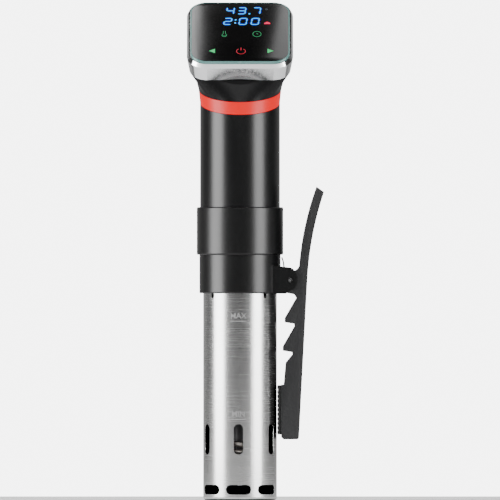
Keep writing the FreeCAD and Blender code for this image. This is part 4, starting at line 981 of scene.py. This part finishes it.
@dataclass
class Display:
    """Lit digits, icons and touch keys behind the glass, drawn in millimetres on it."""

    head: Head
    root: float = -0.01
    high: float = 0.03
    digit_high: float = 0.042
    halo_high: float = 0.013
    digit_width: float = 5.6
    digit_height: float = 8.0
    bar: float = 0.8
    bar_gap: float = 0.22
    bar_point: float = 0.2
    slant: float = 0.12
    halo_grow: float = 1.05
    dot_radius: float = 0.75
    temperature_level: float = 27.6
    time_level: float = 13.8
    line: float = 0.4
    heat_humps: tuple = ((20.0, 11.3, 0.9), (21.5, 12.1, 1.2), (22.9, 11.4, 1.0))
    heat_foot: tuple = ((19.1, 10.4), (23.9, 11.3))
    degree_place: Place = (20.9, 29.6)
    degree_radius: float = 0.8
    bulb_place: Place = (-12.4, -4.1)
    bulb_radius: float = 1.9
    bulb_line: float = 0.34
    bulb_level: float = -0.8
    stem_foot: Place = (0.95, 1.7)
    stem_top: Place = (0.75, 5.4)
    clock_place: Place = (13.4, -2.6)
    clock_radii: Place = (3.25, 3.5)
    clock_line: float = 0.38
    hand: float = 1.0
    arrow_middle: Place = (1.0, -24.5)
    arrow_tip: float = 25.5
    arrow_foot: float = 20.7
    arrow_half: float = 2.8
    power_place: Place = (0.8, -25.0)
    power_radius: float = 3.5
    power_line: float = 0.45
    power_bar: tuple = (1.2, 4.6, 0.6)

    def finish(self, bm: bmesh.types.BMesh, name: str, finish: Finish) -> None:
        """Put a drawing on the glass as a piece.

        Args:
            bm: The drawing, in millimetres.
            name: The piece's name.
            finish: Its finish.
        """
        bmesh.ops.recalc_face_normals(bm, faces=bm.faces)
        bmesh.ops.transform(bm, matrix=self.head.place(), verts=bm.verts)
        finish_piece(bm, name, self.head.body, [finish])
        log.info("%s drawn", name)

    def plate(self, bm: bmesh.types.BMesh, outline: Steps) -> None:
        """A filled shape on the glass."""
        prism(bm, outline, self.root, self.high)

    def draw(self, bm: bmesh.types.BMesh, path: Steps, width: float) -> None:
        """A line on the glass."""
        stroke(bm, path, width, self.root, self.high)

    def digit(self, bm: bmesh.types.BMesh, sign: str, x: float, y: float, grow: float = 0.0) -> None:
        """One seven-bar digit.

        Args:
            bm: The mesh to add to.
            sign: Which digit.
            x: Its middle across.
            y: Its middle up.
            grow: Millimetres to fatten the bars by.
        """
        half = Vector((self.digit_width / 2, self.digit_height / 2))
        thick = self.bar / 2 + grow
        for segment in DIGITS[sign]:
            start, end = (Vector(corner) * half for corner in segment.value)
            along = (end - start).normalized()
            across = Vector((-along.y, along.x)) * thick
            tip = along * thick
            start, end = start + along * self.bar_gap, end - along * self.bar_gap
            corners = [
                start - tip * self.bar_point,
                start + tip - across,
                end - tip - across,
                end + tip * self.bar_point,
                end - tip + across,
                start + tip + across,
            ]
            slanted = [(x + point.x + self.slant * point.y, y + point.y) for point in corners]
            prism(bm, slanted, self.root, self.halo_high if grow else self.digit_high)

    def build_row(self, name: str, level: float, signs: Sequence[tuple[str, float]], dots: Steps) -> None:
        """One row of digits over its blue halo.

        Args:
            name: What the row shows.
            level: Its middle up the glass.
            signs: Each digit and its middle across.
            dots: Places of the dots, measured from the row's middle.
        """
        row, halo = bmesh.new(), bmesh.new()
        for sign, x in signs:
            self.digit(row, sign, x, level)
            self.digit(halo, sign, x, level, self.halo_grow)
        for x, lift in dots:
            self.plate(row, arc_points(self.dot_radius, 0, 345, 15, (x, level + lift)))
        self.finish(row, f"{name}_digits", BLUE_DIGIT)
        self.finish(halo, f"{name}_halo", BLUE_HALO)

    def build_digits(self) -> None:
        """Temperature above, time below."""
        temperature = (("4", -7.6), ("3", 1.5), ("7", 13.2))
        time = (("2", -9.6), ("0", 2.4), ("0", 12.0))
        self.build_row("temperature", self.temperature_level, temperature, ((7.4, -3.9),))
        self.build_row("time", self.time_level, time, ((-3.4, 2.0), (-3.8, -2.0)))

    def build_heat_sign(self) -> None:
        """Low flame beside the time."""
        bm = bmesh.new()
        for x, y, radius in self.heat_humps:
            self.plate(bm, arc_points(radius, 0, 340, 17, (x, y)))
        (left, bottom), (right, top) = self.heat_foot
        self.plate(bm, [(left, bottom), (right, bottom), (right, top), (left, top)])
        self.finish(bm, "heat_sign", HEAT_ICON)

    def build_degree_sign(self) -> None:
        """Small ring beside the temperature."""
        bm = bmesh.new()
        self.draw(bm, arc_points(self.degree_radius, 0, 350, 14, self.degree_place), self.line)
        self.finish(bm, "degree_sign", GREY_PRINT)

    def build_thermometer(self) -> None:
        """Thermometer: open bulb with a stem of two lines, and its level."""
        bm = bmesh.new()
        x, y = self.bulb_place
        self.draw(bm, arc_points(self.bulb_radius, 118, 422, 20, self.bulb_place), self.bulb_line)
        for side in (-1, 1):
            foot = (x + side * self.stem_foot[0], y + self.stem_foot[1])
            top = (x + side * self.stem_top[0], y + self.stem_top[1])
            self.draw(bm, [foot, top], self.bulb_line)
        reach = self.bulb_radius - self.line
        level = y + self.bulb_level
        self.draw(bm, [(x - reach, level), (x + reach, level)], self.bulb_line)
        self.finish(bm, "thermometer_sign", GREEN_ICON)

    def build_clock(self) -> None:
        """Oval clock face with short hands."""
        bm = bmesh.new()
        x, y = self.clock_place
        wide, tall = self.clock_radii
        ring = [(x + wide * across, y + tall * up) for across, up in arc_points(1.0, 0, 356, 32)]
        self.draw(bm, ring, self.clock_line)
        self.draw(bm, [(x, y), (x, y + self.hand)], self.line)
        self.draw(bm, [(x, y), (x + self.hand, y)], self.line)
        self.finish(bm, "clock_sign", GREEN_ICON)

    def build_arrows(self) -> None:
        """Touch keys at both sides: arrows that point outwards."""
        bm = bmesh.new()
        x, y = self.arrow_middle
        for side in (-1, 1):
            foot = x + side * self.arrow_foot
            half = side * self.arrow_half
            self.plate(bm, [(x + side * self.arrow_tip, y), (foot, y + half), (foot, y - half)])
        self.finish(bm, "arrow_keys", GREEN_KEY)

    def build_power_key(self) -> None:
        """Touch key in the middle: a broken ring with a bar."""
        bm = bmesh.new()
        x, y = self.power_place
        low, high, width = self.power_bar
        self.draw(bm, arc_points(self.power_radius, 122, 418, 26, self.power_place), self.power_line)
        self.draw(bm, [(x, y + low), (x, y + high)], width)
        self.finish(bm, "power_key", RED_ICON)

    def build_icons(self) -> None:
        """Heat sign, degree sign, thermometer, clock and the three touch keys."""
        self.build_heat_sign()
        self.build_degree_sign()
        self.build_thermometer()
        self.build_clock()
        self.build_arrows()
        self.build_power_key()


# --- pot clip


@dataclass
class PotClip:
    """Sprung lever with its pad, pin and a wound torsion spring."""

    body: str = "clip"
    easing: float = 0.7
    wire: float = 0.6
    coil_radius: float = 3.6
    coil_turns: int = 6
    coil_length: float = 8.4
    coil_steps: int = 24
    wire_sides: int = 10
    elbow_out: float = 2.2
    elbow_down: float = 4.4
    tip_out: float = 0.9
    tip_down: float = 0.6
    arm_run: float = 2.0
    arm_rise: float = 1.2

    def build_lever(self) -> None:
        """Ease the moulded edges of the lever."""
        # the lever's finish carries a painted sheen in its lifted base colour
        eased_copy("clip_lever", "lever_moulding", self.body, LEVER_BLACK_AND_SHEEN, self.easing)
        log.info("lever edges eased")

    def build_spring(self) -> None:
        """Wind the spring round the pin, with a leg up the sleeve and one behind the arm."""
        low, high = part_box("hinge_pin")
        centre = Vector(((low[0] + high[0]) / 2, 0, (low[2] + high[2]) / 2))
        bm = bmesh.new()
        start = centre + Vector((-self.coil_radius * MM, -self.coil_length / 2 * MM, 0))
        ring = bmesh.ops.create_circle(
            bm,
            cap_ends=False,
            radius=self.wire * MM,
            segments=self.wire_sides,
            matrix=Matrix.Translation(start),
        )
        edges = list({edge for vert in ring["verts"] for edge in vert.link_edges})
        steps = self.coil_steps * self.coil_turns
        bmesh.ops.spin(
            bm,
            geom=ring["verts"] + edges,
            cent=centre,
            axis=(0, 1, 0),
            dvec=(0, self.coil_length * MM / steps, 0),
            angle=2 * math.pi * self.coil_turns,
            steps=steps,
            use_merge=False,
            use_duplicate=False,
        )
        self.build_leg(bm, centre)
        bmesh.ops.remove_doubles(bm, verts=bm.verts, dist=TINY)
        bmesh.ops.recalc_face_normals(bm, faces=bm.faces)
        spring = finish_piece(bm, "wound_spring", "housing", [PIN_STEEL], 60.0)
        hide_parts("clip_spring")
        log.info("spring wound")

    def build_leg(self, bm: bmesh.types.BMesh, centre: Vector) -> None:
        """The straight ends of the spring.

        Args:
            bm: The spring's mesh.
            centre: Middle of the coil.
        """
        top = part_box("clip_spring")[1][2]
        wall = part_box("clip_sleeve")[1][1]
        across = self.coil_length / 2 * MM
        foot = centre + Vector((-self.coil_radius * MM, across, 0))
        elbow = Vector((wall + self.elbow_out * MM, across, top - self.elbow_down * MM))
        end = Vector((wall + self.tip_out * MM, across, top - self.tip_down * MM))
        arm = centre + Vector((0, -across, self.coil_radius * MM))
        arm_end = arm + Vector((self.arm_run, 0, self.arm_rise)) * MM
        for first, last in ((foot, elbow), (elbow, end), (arm, arm_end)):
            along = last - first
            turn = Vector((0, 0, 1)).rotation_difference(along).to_matrix().to_4x4()
            bmesh.ops.create_cone(
                bm,
                cap_ends=True,
                segments=self.wire_sides,
                radius1=self.wire * MM,
                radius2=self.wire * MM,
                depth=along.length,
                matrix=Matrix.Translation((first + last) / 2) @ turn,
            )

    def dress(self) -> None:
        """Paint the clip's other nodes."""
        for node, finish in {"clip_pad": RUBBER, "hinge_pin": PIN_STEEL, "pin_clip": PIN_STEEL}.items():
            paint(node, finish)
        log.info("clip dressed")


# --- studio


@dataclass(frozen=True)
class Lamp:
    """A softbox: where it stands, what it faces, its face in metres and its brightness."""

    name: str
    where: tuple[float, float, float]
    aim: tuple[float, float, float]
    size: tuple[float, float]
    radiance: float

    def build(self) -> None:
        """Hang the softbox."""
        light = bpy.data.lights.new(self.name, "AREA")
        light.shape = "RECTANGLE"
        light.size, light.size_y = self.size
        light.energy = self.radiance * math.pi * self.size[0] * self.size[1]
        turn = (Vector(self.aim) - Vector(self.where)).to_track_quat("-Z", "Y").to_matrix().to_4x4()
        lamp = bpy.data.objects.new(self.name, light)
        lamp.matrix_world = Matrix.Translation(self.where) @ turn
        bpy.context.scene.collection.objects.link(lamp)


@dataclass
class Studio:
    """Pale board, soft lights and a long lens."""

    distance: float = 16.0
    frame_width: float = 0.395
    aim_x: float = 0.0079
    aim_z: float = 0.198
    sensor: float = 36.0
    far_clip: float = 80.0
    floor_half: float = 1.1
    floor_back: float = 0.3
    floor_front: float = 1.1
    floor_corner: float = 0.25
    floor_top: float = -0.0003
    floor_thick: float = 0.012
    camera_white: float = 6.0
    front_level: float = 0.035
    back_level: float = 0.55
    level_start: float = 0.3
    strip_reach: float = 1.3
    strip_height: float = 0.3
    strip_length: float = 1.5
    overhead_height: float = 0.72
    overhead_back: float = 0.09
    overhead_depth: float = 0.3

    def build_floor(self) -> None:
        """Pale board with rounded corners under the object."""
        half, back, front, corner = self.floor_half, self.floor_back, self.floor_front, self.floor_corner
        outline = []
        centres = ((half, back), (-half, back), (-half, -front), (half, -front))
        for quarter, (x, y) in enumerate(centres):
            centre = (x - math.copysign(corner, x), y - math.copysign(corner, y))
            outline += arc_points(corner, 90 * quarter, 90 * quarter + 90, 8, centre)
        bm = bmesh.new()
        prism(bm, outline, self.floor_top - self.floor_thick, self.floor_top)
        bmesh.ops.recalc_face_normals(bm, faces=bm.faces)
        mesh = bpy.data.meshes.new("floor")
        bm.to_mesh(mesh)
        bm.free()
        mesh.materials.append(PALE_BOARD.material())
        floor = bpy.data.objects.new("floor", mesh)
        bpy.context.scene.collection.objects.link(floor)

    def around(self, angle: float) -> tuple[float, float, float]:
        """A place for an upright softbox.

        Args:
            angle: Degrees from the front, positive to the right.

        Returns:
            The point.
        """
        turn = math.radians(angle)
        return (self.strip_reach * math.sin(turn), -self.strip_reach * math.cos(turn), self.strip_height)

    def build_world(self) -> None:
        """Soft room light: pale behind, dim in front and overhead."""
        world = bpy.data.worlds.new("room")
        bpy.context.scene.world = world
        world.use_nodes = True
        tree = world.node_tree
        background = tree.nodes["Background"]
        where = add_node(tree, "ShaderNodeTexCoord")
        split = add_node(tree, "ShaderNodeSeparateXYZ")
        wire(tree, where.outputs["Generated"], split.inputs[0])
        ramp = add_node(tree, "ShaderNodeMapRange")
        ramp.inputs["From Min"].default_value = self.level_start
        ramp.inputs["From Max"].default_value = 1.0
        ramp.inputs["To Min"].default_value = self.front_level
        ramp.inputs["To Max"].default_value = self.back_level
        wire(tree, split.outputs["Y"], ramp.inputs["Value"])
        ray = add_node(tree, "ShaderNodeLightPath")
        white = number(tree, "MULTIPLY", ray.outputs["Is Camera Ray"], self.camera_white)
        level = number(tree, "MAXIMUM", ramp.outputs[0], white)
        background.inputs["Color"].default_value = (1.0, 1.0, 1.0, 1.0)
        wire(tree, level, background.inputs["Strength"])

    def build_camera(self) -> None:
        """Level camera straight in front, with a long lens."""
        data = bpy.data.cameras.new("camera")
        data.sensor_width = self.sensor
        data.lens = self.sensor * self.distance / self.frame_width
        data.clip_end = self.far_clip
        camera = bpy.data.objects.new("camera", data)
        camera.location = (self.aim_x, -self.distance, self.aim_z)
        camera.rotation_euler = (math.radians(90), 0, 0)
        bpy.context.scene.collection.objects.link(camera)
        bpy.context.scene.camera = camera

    def overhead(self, name: str, left: float, right: float, radiance: float) -> Lamp:
        """A softbox over the head that the glass mirrors.

        Args:
            name: The lamp's name.
            left: Its left edge.
            right: Its right edge.
            radiance: Brightness of its face.

        Returns:
            The lamp, not built yet.
        """
        where = ((left + right) / 2, self.overhead_back, self.overhead_height)
        below = (where[0], where[1], 0.0)
        return Lamp(name, where, below, (right - left, self.overhead_depth), radiance)

    def build(self) -> None:
        """Set up everything round the object."""
        self.build_camera()
        self.build_world()
        self.build_floor()
        middle = (0.0, 0.0, 0.2)
        lamps = (
            Lamp("left_strip", self.around(-68), middle, (0.80, self.strip_length), 15.0),
            Lamp("right_strip", self.around(56), middle, (0.66, self.strip_length), 13.0),
            Lamp("front_box", (0.0, -0.5, 0.465), (0.0, -0.04, 0.33), (0.24, 0.085), 9.0),
            self.overhead("left_overhead", -0.18, -0.070, 6.5),
            self.overhead("right_overhead", 0.066, 0.17, 3.0),
        )
        for lamp in lamps:
            lamp.build()
        log.info("studio ready")


def main() -> None:
    """Build and dress the circulator, then the studio round it."""
    logging.basicConfig(level=logging.INFO, format="%(name)s: %(message)s")
    Studio().build()
    wet_end = WetEnd()
    wet_end.dress()
    wet_end.build_marks()
    tube = UpperTube()
    tube.dress()
    head = Head()
    head.dress()
    head.build_glass()
    head.build_border()
    display = Display(head)
    display.build_digits()
    display.build_icons()
    clip = PotClip()
    clip.dress()
    clip.build_lever()
    clip.build_spring()


if __name__ == "__main__":
    main()
